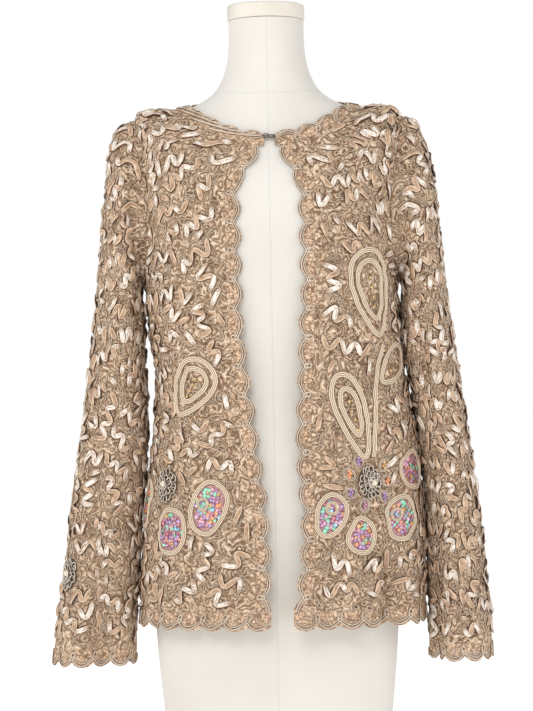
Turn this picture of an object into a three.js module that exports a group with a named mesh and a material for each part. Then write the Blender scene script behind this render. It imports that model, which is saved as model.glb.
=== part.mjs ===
// A long-sleeved lace cardigan, hip length and open down the front, on a limbless dress form.
// Millimetres, +Z up. The front faces -Y and the viewer's right is +X. The origin is the middle of
// the form's base board, on the surface that it stands on.
// Left and right are the viewer's, looking at the front.
import * as THREE from "three";

// Driving dimensions.
const WALL = 2; // lace with its ribbon work
const EDGING_WALL = 1.6; // corded border lace, without ribbon
const SEAM_GAP = 0.3; // between two sewn pieces
const ARMHOLE_GAP = 0.6; // the sleeve's seam turns a corner, so it needs more
const TAPE_LIFT = 0.9; // under a tape that lies on a panel
const ARMHOLE_ANGLE = 22; // half the armhole's width, round the body, in degrees
const EDGING_WIDTH = 20; // border lace beside the front opening
const BASE_BOARD_HEIGHT = 18;

// Rings of the cardigan's body, its outer face, from the neck to the hem. front, side and back are
// heights; left and right are half widths; fore and aft are depths from the middle; square is the
// power of the section's curve, 2 for an ellipse.
const BODY = [
  { name: "neck tips", front: 783, side: 823, back: 840, left: 101, right: 101, fore: 72, aft: 57, square: 2.0 },
  { name: "neck seam", front: 763, side: 819, back: 824, left: 121, right: 121, fore: 83, aft: 70, square: 2.0 },
  { name: "shoulder", front: 728, side: 806, back: 775, left: 172, right: 172, fore: 98, aft: 88, square: 2.2 },
  { name: "mid armhole", front: 665, side: 700, back: 695, left: 165, right: 165, fore: 110, aft: 98, square: 2.4 },
  { name: "armpit", front: 600, side: 600, back: 612, left: 163, right: 163, fore: 119, aft: 101, square: 2.4 },
  { name: "under bust", front: 545, side: 545, back: 545, left: 160, right: 165, fore: 119, aft: 96, square: 2.3 },
  { name: "waist", front: 470, side: 470, back: 470, left: 151, right: 172, fore: 113, aft: 91, square: 2.25 },
  { name: "high hip", front: 390, side: 390, back: 390, left: 157, right: 185, fore: 114, aft: 105, square: 2.2 },
  { name: "hip", front: 300, side: 300, back: 300, left: 169, right: 192, fore: 119, aft: 122, square: 2.2 },
  { name: "low hip", front: 230, side: 230, back: 230, left: 174, right: 193.5, fore: 124, aft: 131, square: 2.2 },
  { name: "hem seam", front: 175, side: 175, back: 175, left: 177, right: 193.5, fore: 128, aft: 136, square: 2.2 },
  { name: "hem tips", front: 151, side: 151, back: 151, left: 179, right: 194.5, fore: 130, aft: 138, square: 2.2 },
];
const NECK_TIPS = 0;
const NECK_SEAM = 1;
const SHOULDER = 2;
const ARMPIT = 4;
const HEM_SEAM = 10;
const HEM_TIPS = 11;

// The dress form, in the same columns, from the top of the neck to its base board.
const FORM = [
  { name: "neck top", front: 931, side: 931, back: 931, left: 49, right: 49, fore: 56, aft: 44, square: 2 },
  { name: "neck", front: 898, side: 900, back: 902, left: 49, right: 49, fore: 55, aft: 46, square: 2 },
  { name: "neck foot", front: 864, side: 868, back: 875, left: 54, right: 54, fore: 55, aft: 51, square: 2 },
  { name: "neck base", front: 833, side: 839, back: 852, left: 69, right: 69, fore: 59, aft: 54, square: 2 },
  { name: "collar", front: 784, side: 820.2, back: 836, left: 100, right: 100, fore: 68, aft: 53.5, square: 2 },
  { name: "yoke", front: 763, side: 816.2, back: 820, left: 121, right: 121, fore: 79, aft: 66, square: 2 },
  { name: "shoulder", front: 728, side: 800, back: 773, left: 163, right: 163, fore: 94, aft: 84, square: 2.2 },
  { name: "arm plate", front: 690, side: 755, back: 730, left: 162, right: 162, fore: 102, aft: 91, square: 2.3 },
  { name: "chest", front: 650, side: 690, back: 680, left: 156, right: 156, fore: 108, aft: 94, square: 2.35 },
  { name: "bust", front: 600, side: 600, back: 610, left: 150, right: 150, fore: 114, aft: 96, square: 2.35 },
  { name: "under bust", front: 545, side: 545, back: 545, left: 140, right: 140, fore: 108, aft: 89, square: 2.3 },
  { name: "waist", front: 470, side: 470, back: 470, left: 127, right: 127, fore: 96, aft: 78, square: 2.2 },
  { name: "high hip", front: 390, side: 390, back: 390, left: 144, right: 144, fore: 103, aft: 95, square: 2.2 },
  { name: "hip", front: 290, side: 290, back: 290, left: 158, right: 158, fore: 108, aft: 113, square: 2.2 },
  { name: "low hip", front: 210, side: 210, back: 210, left: 160, right: 160, fore: 107, aft: 114, square: 2.2 },
  { name: "thigh", front: 110, side: 110, back: 110, left: 155, right: 155, fore: 101, aft: 104, square: 2.2 },
  { name: "foot", front: 18.3, side: 18.3, back: 18.3, left: 146, right: 146, fore: 94, aft: 92, square: 2.2 },
];

// Sections of each sleeve, from the armhole to the cuff. Each is a ring through an outer point, on
// the shoulder's side, and an inner one, on the underarm's, both as distance from the middle and
// height, with its depth to the front and the back.
const SLEEVE_LEFT = [
  { outerX: 172, outerZ: 806, innerX: 163, innerZ: 600, fore: 46, aft: 44 },
  { outerX: 187, outerZ: 800, innerX: 169, innerZ: 592, fore: 51, aft: 50 },
  { outerX: 197, outerZ: 790, innerX: 170, innerZ: 582, fore: 54, aft: 54 },
  { outerX: 204, outerZ: 771, innerX: 168, innerZ: 570, fore: 56, aft: 57 },
  { outerX: 209, outerZ: 742, innerX: 166.5, innerZ: 555, fore: 58, aft: 59 },
  { outerX: 213, outerZ: 705, innerX: 165.5, innerZ: 537, fore: 59, aft: 60 },
  { outerX: 218, outerZ: 664, innerX: 166, innerZ: 516, fore: 59, aft: 60 },
  { outerX: 222, outerZ: 620, innerX: 166, innerZ: 491, fore: 58, aft: 59 },
  { outerX: 227, outerZ: 567, innerX: 165, innerZ: 460, fore: 57, aft: 57 },
  { outerX: 235, outerZ: 500, innerX: 164, innerZ: 422, fore: 55, aft: 55 },
  { outerX: 245, outerZ: 427, innerX: 165, innerZ: 380, fore: 53, aft: 53 },
  { outerX: 256, outerZ: 355, innerX: 169, innerZ: 330, fore: 52, aft: 52 },
  { outerX: 266, outerZ: 288, innerX: 175, innerZ: 274, fore: 50, aft: 52 },
  { outerX: 275, outerZ: 222, innerX: 179, innerZ: 216, fore: 49, aft: 52 },
  { outerX: 284, outerZ: 165, innerX: 182, innerZ: 163, fore: 49, aft: 52 },
  { outerX: 290, outerZ: 124, innerX: 183, innerZ: 124, fore: 50, aft: 52 },
  { outerX: 293, outerZ: 101, innerX: 184, innerZ: 101, fore: 51, aft: 53 },
];
const SLEEVE_RIGHT = [
  { outerX: 172, outerZ: 806, innerX: 163, innerZ: 600, fore: 46, aft: 44 },
  { outerX: 186, outerZ: 799, innerX: 169, innerZ: 592, fore: 51, aft: 50 },
  { outerX: 196, outerZ: 788, innerX: 171, innerZ: 582, fore: 54, aft: 54 },
  { outerX: 204, outerZ: 766, innerX: 170.5, innerZ: 570, fore: 57, aft: 57 },
  { outerX: 211, outerZ: 735, innerX: 169.5, innerZ: 555, fore: 59, aft: 59 },
  { outerX: 216, outerZ: 698, innerX: 169.5, innerZ: 537, fore: 60, aft: 60 },
  { outerX: 220, outerZ: 656, innerX: 170.5, innerZ: 516, fore: 61, aft: 61 },
  { outerX: 224, outerZ: 610, innerX: 173, innerZ: 491, fore: 61, aft: 61 },
  { outerX: 230, outerZ: 555, innerX: 178, innerZ: 460, fore: 61, aft: 61 },
  { outerX: 238, outerZ: 490, innerX: 184, innerZ: 422, fore: 61, aft: 61 },
  { outerX: 248, outerZ: 420, innerX: 189, innerZ: 380, fore: 61, aft: 62 },
  { outerX: 257, outerZ: 350, innerX: 194.5, innerZ: 330, fore: 62, aft: 62 },
  { outerX: 265, outerZ: 283, innerX: 196.5, innerZ: 272, fore: 62, aft: 63 },
  { outerX: 271, outerZ: 218, innerX: 196.5, innerZ: 214, fore: 63, aft: 64 },
  { outerX: 276, outerZ: 162, innerX: 198, innerZ: 161, fore: 64, aft: 65 },
  { outerX: 278, outerZ: 124, innerX: 197, innerZ: 124, fore: 65, aft: 66 },
  { outerX: 279, outerZ: 101, innerX: 197, innerZ: 101, fore: 66, aft: 67 },
];
const CUFF_SEAM = 15;
const CUFF_TIPS = 16;

// Half gaps of the front opening, as the scallops' tips, from the neck down.
const OPENING_LEFT = [
  { z: 790, x: 0 }, { z: 768, x: -3 }, { z: 752, x: -13 }, { z: 737, x: -22 }, { z: 720, x: -34 },
  { z: 700, x: -37 }, { z: 545, x: -36 }, { z: 485, x: -31 }, { z: 425, x: -23 }, { z: 362, x: -16 },
  { z: 310, x: -9 }, { z: 240, x: -6 }, { z: 150, x: -9 },
];
const OPENING_RIGHT = [
  { z: 790, x: 2 }, { z: 768, x: 6 }, { z: 750, x: 15 }, { z: 733, x: 24 }, { z: 714, x: 33 },
  { z: 683, x: 36 }, { z: 578, x: 37 }, { z: 540, x: 34 }, { z: 467, x: 31 }, { z: 402, x: 27 },
  { z: 335, x: 28 }, { z: 300, x: 32 }, { z: 230, x: 28 }, { z: 190, x: 22 }, { z: 150, x: 17 },
];

// Largest folds. On the body, at is the angle from the middle front, to the right, at the hem; lean
// is how far it moves per ring upwards; top is the ring where it starts. Depth is inwards, so a
// ridge has a negative one.
const BODY_FOLDS = [
  { at: 47, lean: 0.6, top: 7.7, depth: 22, width: 8 },
  { at: 60, lean: 0.5, top: 7.4, depth: -7, width: 11 },
  { at: 27, lean: -0.8, top: 6.0, depth: -6, width: 12 },
  { at: 9, lean: 0.2, top: 7.2, depth: -9, width: 8 },
  { at: -30, lean: 1.0, top: 5.8, depth: 6, width: 10 },
  { at: -62, lean: 0.4, top: 6.4, depth: 7, width: 8 },
  { at: 118, lean: 1.0, top: 6.2, depth: 10, width: 12 },
  { at: 143, lean: 0.4, top: 5.6, depth: -8, width: 13 },
  { at: 166, lean: -0.4, top: 6.0, depth: 11, width: 12 },
  { at: 194, lean: 0.5, top: 5.4, depth: -8, width: 13 },
  { at: 218, lean: 0.2, top: 6.3, depth: 12, width: 11 },
  { at: 246, lean: -0.6, top: 6.5, depth: -5, width: 11 },
];
// On a sleeve, at is the angle at the cuff from the outer side, to the front; lean is how far it
// moves for each section upwards; it runs between two sections.
const FOLDS_LEFT = [
  { at: 104, lean: -8, from: 8, to: 17.5, depth: 14, width: 26 },
  { at: 60, lean: -4, from: 9, to: 17.5, depth: -5, width: 30 },
  { at: 150, lean: -1, from: 2, to: 9, depth: 8, width: 30 },
  { at: 205, lean: 2, from: 7, to: 17.5, depth: 9, width: 26 },
  { at: 262, lean: 3, from: 9, to: 17.5, depth: 11, width: 28 },
  { at: 315, lean: 2, from: 4, to: 13, depth: 7, width: 30 },
];
const FOLDS_RIGHT = [
  { at: 128, lean: -2, from: 4, to: 11, depth: 11, width: 30 },
  { at: 150, lean: -3, from: 9, to: 17.5, depth: 8, width: 26 },
  { at: 92, lean: -2, from: 10, to: 17.5, depth: 5, width: 24 },
  { at: 222, lean: 3, from: 8, to: 17.5, depth: 11, width: 30 },
  { at: 285, lean: 2, from: 9, to: 17.5, depth: 9, width: 26 },
  { at: 330, lean: 1, from: 3, to: 12, depth: 6, width: 30 },
];

// Appliques on the fronts. across and up are the middle's place, seen from the front; lift is the
// least that keeps a stiff pad clear of the cloth's folds under it.
const LEAVES = [
  { name: "leaf_left", across: -103, up: 458, length: 76, width: 57, lean: 31, inner: 0.6 },
  { name: "leaf_right_upper", across: 127, up: 575, length: 110, width: 59, lean: -10, inner: 0.68 },
  { name: "leaf_right_lower", across: 100, up: 419, length: 108, width: 42, lean: -13, inner: 0.56 },
  { name: "leaf_right_side", across: 153, up: 482, length: 62, width: 36, lean: 48, inner: 0 },
];
const PETALS = [
  { name: "petal_left_inner", across: -86, up: 306, length: 72, width: 52, lean: 8, lift: 1.1 },
  { name: "petal_left_lower", across: -133, up: 276, length: 60, width: 52, lean: -6, lift: 1.9 },
  { name: "petal_left_side", across: -163, up: 309, length: 66, width: 26, lean: 6, lift: 0.8 },
  { name: "petal_right_1", across: 68, up: 294, length: 58, width: 43, lean: 18, lift: 0.7 },
  { name: "petal_right_2", across: 107, up: 268, length: 48, width: 42, lean: -6, lift: 1.2 },
  { name: "petal_right_3", across: 161, up: 287, length: 58, width: 54, lean: -42, lift: 2.0 },
  { name: "petal_right_4", across: 174, up: 347, length: 52, width: 50, lean: -40, lift: 1.0 },
];
const FLOWER_HEARTS = [
  { name: "flower_heart_left", across: -137, up: 334, radius: 18, tall: 1.25, lift: 1.2 },
  { name: "flower_heart_right", across: 119, up: 334, radius: 16, tall: 1.35, lift: 0.8 },
];
const SLEEVE_HEART = { name: "flower_heart_sleeve", psi: 42, section: 13, radius: 17, tall: 1.3, lift: 1.3 };
const LEAF_TAPE = { width: 7, height: 1.8 };
const PETAL_HEIGHT = 2.4;
const HEART_HEIGHT = 6;
const STEM = { name: "leaf_stem", width: 7, height: 1.8, points: [
  { x: 140, z: 508 }, { x: 137, z: 499 }, { x: 130, z: 472 }, { x: 129, z: 438 }, { x: 128, z: 404 },
  { x: 125, z: 366 },
] };

// The hook and bar that close the neck, laid across the opening over both ends of the neck's border.
const HOOK = { from: -10, to: 12, ring: 0.5, width: 6, height: 2, lift: 0.25, steps: 4 };

const radians = THREE.MathUtils.degToRad;
const lerp = THREE.MathUtils.lerp;
const clamp = THREE.MathUtils.clamp;
const signedPower = (v, p) => Math.sign(v) * Math.abs(v) ** p;
const bump = (u) => (Math.abs(u) < 1 ? 0.5 * (1 + Math.cos(Math.PI * u)) : 0);
const smooth = (t) => clamp(t, 0, 1) ** 2 * (3 - 2 * clamp(t, 0, 1));

// The value of one column of a table, between its rows, on a smooth curve.
function between(table, column, at) {
  const last = table.length - 1;
  const t = clamp(at, 0, last);
  const i = Math.min(Math.floor(t), last - 1);
  const value = (k) => table[clamp(k, 0, last)][column];
  const [a, b, c, d] = [value(i - 1), value(i), value(i + 1), value(i + 2)];
  const f = t - i;
  return 0.5 * (2 * b + (c - a) * f + (2 * a - 5 * b + 4 * c - d) * f ** 2 + (3 * b - a - 3 * c + d) * f ** 3);
}

// A straight-line reading of a list of { z, x }, whose heights fall.
function openingAt(list, z) {
  const i = list.findIndex((p) => p.z <= z);
  if (i === 0) return list[0].x;
  if (i < 0) return list.at(-1).x;
  const t = (list[i - 1].z - z) / (list[i - 1].z - list[i].z);
  return lerp(list[i - 1].x, list[i].x, t);
}

// A point of a ringed body: phi in degrees from the middle front, to the right.
function ringPoint(table, phi, ring, inwards = 0) {
  const s = Math.sin(radians(phi));
  const c = Math.cos(radians(phi));
  const power = 2 / between(table, "square", ring);
  const half = between(table, s >= 0 ? "right" : "left", ring);
  const depth = between(table, c >= 0 ? "fore" : "aft", ring);
  const height = between(table, "side", ring) * s * s + between(table, c >= 0 ? "front" : "back", ring) * c * c;
  return new THREE.Vector3(half * signedPower(s, power) - inwards * s, -depth * signedPower(c, power) + inwards * c, height);
}

function bodyFold(phi, ring) {
  const turn = ((phi % 360) + 360) % 360;
  let sum = 0;
  for (const fold of BODY_FOLDS) {
    const middle = fold.at + fold.lean * (HEM_SEAM - ring);
    const off = ((turn - middle + 540) % 360) - 180;
    sum += fold.depth * bump(off / fold.width) * smooth((ring - fold.top) / (HEM_SEAM - fold.top));
  }
  return sum;
}
const bodyPoint = (phi, ring) => ringPoint(BODY, phi, ring, bodyFold(phi, ring));

// The outward normal of a surface given by two parameters.
function normalOf(point, a, b, stepA, stepB) {
  const alongA = point(a + stepA, b).sub(point(a - stepA, b));
  const alongB = point(a, b + stepB).sub(point(a, b - stepB));
  return alongB.cross(alongA).normalize();
}
const bodyNormal = (phi, ring) => normalOf(bodyPoint, phi, ring, 1.5, 0.08);

// The angle at which a ring reaches a distance from the middle, on the front.
function phiAtX(x, ring) {
  const half = between(BODY, x >= 0 ? "right" : "left", ring);
  const share = clamp(Math.abs(x) / half, 0, 1) ** (between(BODY, "square", ring) / 2);
  return THREE.MathUtils.radToDeg(Math.sign(x) * Math.asin(share));
}

// The angle of the front opening's line at a ring; band is the width beside the scallops' tips.
function openingPhi(side, ring, band) {
  const list = side < 0 ? OPENING_LEFT : OPENING_RIGHT;
  let phi = 0;
  for (let turn = 0; turn < 6; turn++)
    phi = phiAtX(openingAt(list, ringPoint(BODY, phi, ring).z) + side * band, ring);
  return phi;
}

// The ring at a height on the front, by halving.
function ringAtHeight(phi, z) {
  let low = NECK_TIPS;
  let high = HEM_TIPS;
  for (let turn = 0; turn < 24; turn++) {
    const middle = (low + high) / 2;
    if (ringPoint(BODY, phi, middle).z > z) low = middle;
    else high = middle;
  }
  return (low + high) / 2;
}

// A closed wall: a grid of outer points and normals, thickened inwards. A tube's columns close.
function wall(grid, thickness, tube = false) {
  const rows = grid.length;
  const columns = grid[0].length;
  const position = [];
  for (const row of grid) for (const { point } of row) position.push(...point.toArray());
  for (const row of grid)
    for (const { point, normal } of row)
      position.push(...point.clone().addScaledVector(normal, -thickness).toArray());
  const inner = rows * columns;
  const at = (r, c) => r * columns + (c % columns);
  const index = [];
  const quad = (a, b, c, d) => index.push(a, b, c, a, c, d);
  const spans = tube ? columns : columns - 1;
  for (let r = 0; r + 1 < rows; r++)
    for (let c = 0; c < spans; c++) {
      quad(at(r, c), at(r + 1, c), at(r + 1, c + 1), at(r, c + 1));
      quad(inner + at(r, c), inner + at(r, c + 1), inner + at(r + 1, c + 1), inner + at(r + 1, c));
    }
  for (let c = 0; c < spans; c++) {
    quad(at(0, c), at(0, c + 1), inner + at(0, c + 1), inner + at(0, c));
    quad(at(rows - 1, c + 1), at(rows - 1, c), inner + at(rows - 1, c), inner + at(rows - 1, c + 1));
  }
  if (!tube)
    for (let r = 0; r + 1 < rows; r++) {
      quad(at(r + 1, 0), at(r, 0), inner + at(r, 0), inner + at(r + 1, 0));
      quad(at(r, columns - 1), at(r + 1, columns - 1), inner + at(r + 1, columns - 1), inner + at(r, columns - 1));
    }
  return outwards(position, index);
}

// A geometry whose faces point out, whichever way its grid ran.
function outwards(position, index) {
  let volume = 0;
  const v = (i) => new THREE.Vector3(...position.slice(3 * i, 3 * i + 3));
  for (let i = 0; i < index.length; i += 3) volume += v(index[i]).dot(v(index[i + 1]).cross(v(index[i + 2])));
  if (volume < 0)
    for (let i = 0; i < index.length; i += 3) [index[i + 1], index[i + 2]] = [index[i + 2], index[i + 1]];
  const geometry = new THREE.BufferGeometry();
  geometry.setAttribute("position", new THREE.Float32BufferAttribute(position, 3));
  geometry.setIndex(index);
  return geometry;
}

const cardigan = new THREE.Group();
const LACE = new THREE.MeshStandardMaterial({ color: 0xb8977a, roughness: 0.75, metalness: 0 });
const CORD = new THREE.MeshStandardMaterial({ color: 0xcdb094, roughness: 0.6, metalness: 0 });
const TAPE = new THREE.MeshStandardMaterial({ color: 0xcbbca4, roughness: 0.6, metalness: 0 });
const SEQUIN = new THREE.MeshStandardMaterial({ color: 0xc09ab0, roughness: 0.25, metalness: 0.3 });
const BEAD = new THREE.MeshStandardMaterial({ color: 0xa08a70, roughness: 0.3, metalness: 0.7 });
const COVER = new THREE.MeshStandardMaterial({ color: 0xf2ede2, roughness: 0.85, metalness: 0 });
const WOOD = new THREE.MeshStandardMaterial({ color: 0xe6d8c2, roughness: 0.5, metalness: 0 });
function add(name, geometry, material) {
  const mesh = new THREE.Mesh(geometry, material);
  mesh.name = name;
  cardigan.add(mesh);
}

// Rows shared by the fronts and the back: three over the yoke, twelve beside the armhole, spaced as
// its curve needs, and nine down to the hem.
const YOKE_ROWS = 3;
const ARMHOLE_ROWS = 12;
const SKIRT_ROWS = 9;
const ROWS = [];
for (let k = 0; k < YOKE_ROWS; k++) ROWS.push({ ring: lerp(NECK_SEAM, SHOULDER, k / YOKE_ROWS), gape: 0 });
for (let k = 0; k <= ARMHOLE_ROWS; k++) {
  const turn = (Math.PI * k) / ARMHOLE_ROWS;
  const ring = lerp(SHOULDER, ARMPIT, (1 - Math.cos(turn)) / 2);
  ROWS.push({ ring, gape: ARMHOLE_ANGLE * Math.sin(turn) });
}
for (let k = 1; k <= SKIRT_ROWS; k++) ROWS.push({ ring: lerp(ARMPIT, HEM_SEAM, k / SKIRT_ROWS), gape: 0 });

// A panel of the body between two angles, each a function of the row.
function panelGrid(columns, fromPhi, toPhi, spread = (t) => t) {
  return ROWS.map((row) => {
    const [from, to] = [fromPhi(row), toPhi(row)];
    return Array.from({ length: columns + 1 }, (_, c) => {
      const phi = lerp(from, to, spread(c / columns));
      return { phi, ring: row.ring, point: bodyPoint(phi, row.ring), normal: bodyNormal(phi, row.ring) };
    });
  });
}
const SIDE = 90;
const SEAM_ANGLE = 0.06; // half of a side seam's gap, in degrees
const FRONT_COLUMNS = 11;
const BACK_COLUMNS = 18;
const leftFront = panelGrid(FRONT_COLUMNS, (row) => openingPhi(-1, row.ring, EDGING_WIDTH), (row) => -SIDE + row.gape + SEAM_ANGLE);
const rightFront = panelGrid(FRONT_COLUMNS, (row) => openingPhi(1, row.ring, EDGING_WIDTH), (row) => SIDE - row.gape - SEAM_ANGLE);
const back = panelGrid(BACK_COLUMNS, (row) => SIDE + row.gape + SEAM_ANGLE, (row) => 360 - SIDE - row.gape - SEAM_ANGLE);
add("front_left", wall(leftFront, WALL), LACE);
add("front_right", wall(rightFront, WALL), LACE);
add("back", wall(back, WALL), LACE);

// Sleeves. Column 0 is the shoulder's tip and the columns run down the front to the underarm.
const AROUND = 2 * ARMHOLE_ROWS;
function sleevePoint(side, psi, section) {
  const table = side < 0 ? SLEEVE_LEFT : SLEEVE_RIGHT;
  const folds = side < 0 ? FOLDS_LEFT : FOLDS_RIGHT;
  const outer = new THREE.Vector3(between(table, "outerX", section), 0, between(table, "outerZ", section));
  const inner = new THREE.Vector3(between(table, "innerX", section), 0, between(table, "innerZ", section));
  const c = Math.cos(radians(psi));
  const s = Math.sin(radians(psi));
  let pinch = 0;
  for (const fold of folds) {
    const off = ((psi - fold.at - fold.lean * (CUFF_SEAM - section) + 900) % 360) - 180;
    const length = bump((2 * (section - fold.from)) / (fold.to - fold.from) - 1);
    const held = fold.to > CUFF_TIPS ? smooth((section - fold.from) / (CUFF_SEAM - fold.from)) : length;
    pinch += fold.depth * bump(off / fold.width) * held;
  }
  const along = outer.clone().sub(inner);
  const half = along.length() / 2;
  const depth = between(table, s >= 0 ? "fore" : "aft", section);
  const middle = outer.clone().add(inner).multiplyScalar(0.5);
  const point = middle.addScaledVector(along.normalize(), (half - pinch) * c);
  point.y = -(depth - pinch) * s;
  point.x *= side;
  return point;
}
function sleeveNormal(side, psi, section) {
  const step = 0.1;
  const low = Math.max(section - step, 0);
  const at = (p, k) => sleevePoint(side, p, k);
  const around = at(psi + 2, section).sub(at(psi - 2, section));
  const down = at(psi, section + step).sub(at(psi, low));
  return around.cross(down).normalize().multiplyScalar(side);
}
// The armhole's own points: down the front panel's edge and up the back's.
function armhole(side) {
  const front = side < 0 ? leftFront : rightFront;
  const rows = Array.from({ length: ARMHOLE_ROWS + 1 }, (_, k) => YOKE_ROWS + k);
  const down = rows.map((r) => front[r].at(-1).point);
  const up = rows.map((r) => (side < 0 ? back[r].at(-1) : back[r][0]).point);
  const tip = down[0].clone().add(up[0]).multiplyScalar(0.5);
  const pit = down.at(-1).clone().add(up.at(-1)).multiplyScalar(0.5);
  return [tip, ...down.slice(1, -1), pit, ...up.slice(1, -1).reverse()];
}
function sleeveGrid(side) {
  const hole = armhole(side);
  const grid = [];
  for (let section = 0; section <= CUFF_SEAM; section++) {
    const row = [];
    for (let c = 0; c < AROUND; c++) {
      const psi = (360 * c) / AROUND;
      const next = sleevePoint(side, psi, section === 0 ? 1 : section);
      if (section > 0) row.push({ point: next, normal: sleeveNormal(side, psi, section) });
      else {
        const away = next.clone().sub(hole[c]).normalize();
        row.push({ point: hole[c].clone().addScaledVector(away, ARMHOLE_GAP), away });
      }
    }
    grid.push(row);
  }
  // At the seam the wall stands square to the way the sleeve leaves it.
  grid[0].forEach((entry, c) => {
    const around = grid[0][(c + 1) % AROUND].point.clone().sub(grid[0][(c + AROUND - 1) % AROUND].point);
    entry.normal = around.cross(entry.away).normalize().multiplyScalar(side);
  });
  return grid;
}
const leftSleeve = sleeveGrid(-1);
const rightSleeve = sleeveGrid(1);
add("sleeve_left", wall(leftSleeve, WALL, true), LACE);
add("sleeve_right", wall(rightSleeve, WALL, true), LACE);

// Scalloped border lace. Its seam side follows the panel's own edge, a seam's gap away, and its
// free side waves between the tips and the notches.
const STEPS = 4; // straight stretches in one scallop
const scallopReach = (t) => 1 - SCALLOP_DEPTH_SHARE * (1 - Math.abs(Math.sin(Math.PI * t)));
const SCALLOP_DEPTH_SHARE = 0.4; // of the border's width, from tip to notch

// Points along a polyline of { point, normal }, at a number of even steps.
function alongEdge(edge, steps) {
  const lengths = [0];
  for (let i = 1; i < edge.length; i++) lengths.push(lengths[i - 1] + edge[i].point.distanceTo(edge[i - 1].point));
  return Array.from({ length: steps + 1 }, (_, k) => {
    const want = (lengths.at(-1) * k) / steps;
    let i = lengths.findIndex((l) => l >= want - 1e-6);
    i = Math.max(i, 1);
    const t = clamp((want - lengths[i - 1]) / (lengths[i] - lengths[i - 1]), 0, 1);
    const mix = (key) => (edge[i][key] === undefined ? undefined : lerp(edge[i - 1][key], edge[i][key], t));
    return {
      point: edge[i - 1].point.clone().lerp(edge[i].point, t),
      normal: edge[i - 1].normal.clone().lerp(edge[i].normal, t).normalize(),
      phi: mix("phi"),
      ring: mix("ring"),
      t: k / steps,
    };
  });
}
// A border along an edge: free gives the tip's point for a step on the edge.
function border(edge, scallops, free, closed = false) {
  const steps = alongEdge(edge, scallops * STEPS);
  const seam = [];
  const rim = [];
  steps.forEach((step, k) => {
    const tip = free(step);
    const out = tip.clone().sub(step.point);
    const reach = scallopReach(k / STEPS);
    const start = step.point.clone().addScaledVector(out.clone().normalize(), SEAM_GAP);
    seam.push({ point: start, normal: step.normal });
    rim.push({ point: step.point.clone().addScaledVector(out, reach), normal: step.normal });
  });
  if (closed) [seam, rim].forEach((row) => row.pop());
  return wall([seam, rim], EDGING_WALL, closed);
}

// Front borders: down each front's edge, from the neck's seam to the hem's.
const FRONT_SCALLOPS = 16.5; // the half one turns the corner at the hem
for (const [name, side, panel] of [["edging_front_left", -1, leftFront], ["edging_front_right", 1, rightFront]]) {
  const edge = panel.map((row) => row[0]);
  add(name, border(edge, FRONT_SCALLOPS, (step) => bodyPoint(openingPhi(side, step.ring, 0), step.ring)), CORD);
}

// The points of a row's edge carried on to the front opening's own line, at each end.
function withCorners(row, ring) {
  const corner = (side) => {
    const phi = openingPhi(side, ring, 0);
    return { phi, ring, point: bodyPoint(phi, ring), normal: bodyNormal(phi, ring) };
  };
  return [corner(1), ...row, corner(-1)];
}
const HEM_SCALLOPS = 34;
const NECK_SCALLOPS = 19;
const lastRow = (grid) => grid.at(-1).map((p) => ({ ...p, phi: p.phi > 270 ? p.phi - 360 : p.phi }));
const firstRow = (grid) => grid[0];
function roundTheBody(pick, ring) {
  const turned = (row) => row.map((p) => ({ ...p, phi: p.phi < -1 ? p.phi + 360 : p.phi }));
  const right = turned(pick(rightFront));
  const left = turned(pick(leftFront)).reverse();
  const row = withCorners([...right, ...pick(back), ...left], ring);
  row.at(-1).phi += 360;
  return row;
}
const hemEdge = roundTheBody(lastRow, HEM_SEAM);
const neckEdge = roundTheBody(firstRow, NECK_SEAM);
add("edging_hem", border(hemEdge, HEM_SCALLOPS, (step) => bodyPoint(step.phi, HEM_TIPS)), CORD);
add("edging_neck", border(neckEdge, NECK_SCALLOPS, (step) => bodyPoint(step.phi, NECK_TIPS)), CORD);

const CUFF_SCALLOPS = 12;
for (const [name, side, grid] of [["edging_cuff_left", -1, leftSleeve], ["edging_cuff_right", 1, rightSleeve]]) {
  const ringed = grid.at(-1).map((entry, c) => ({ ...entry, phi: (360 * c) / AROUND }));
  const edge = [...ringed, { ...ringed[0], phi: 360 }];
  add(name, border(edge, CUFF_SCALLOPS, (step) => sleevePoint(side, step.phi, CUFF_TIPS), true), CORD);
}

// A point of a panel's own flat faces, moved out, so that what lies there never cuts it.
function onPanel(grid, phi, ring, lift) {
  let r = grid.findIndex((row) => row[0].ring >= ring) - 1;
  if (r < 0) r = ring < 2 ? 0 : grid.length - 2;
  const down = clamp((ring - grid[r][0].ring) / (grid[r + 1][0].ring - grid[r][0].ring), 0, 1);
  const across = (row) => lerp(grid[r][row].phi, grid[r + 1][row].phi, down);
  const columns = grid[0].length - 1;
  const whole = ((phi - across(0)) / (across(columns) - across(0))) * columns;
  const c = clamp(Math.floor(whole), 0, columns - 1);
  const side = clamp(whole - c, 0, 1);
  const mix = (key) => {
    const [a, b, d, e] = [grid[r][c], grid[r + 1][c], grid[r + 1][c + 1], grid[r][c + 1]].map((p) => p[key]);
    // The wall's quads are split from (r, c) to (r + 1, c + 1).
    if (down >= side) return a.clone().addScaledVector(b.clone().sub(a), down).addScaledVector(d.clone().sub(b), side);
    return a.clone().addScaledVector(e.clone().sub(a), side).addScaledVector(d.clone().sub(e), down);
  };
  const normal = mix("normal").normalize();
  return { point: mix("point").addScaledVector(normal, lift), normal };
}
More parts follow.
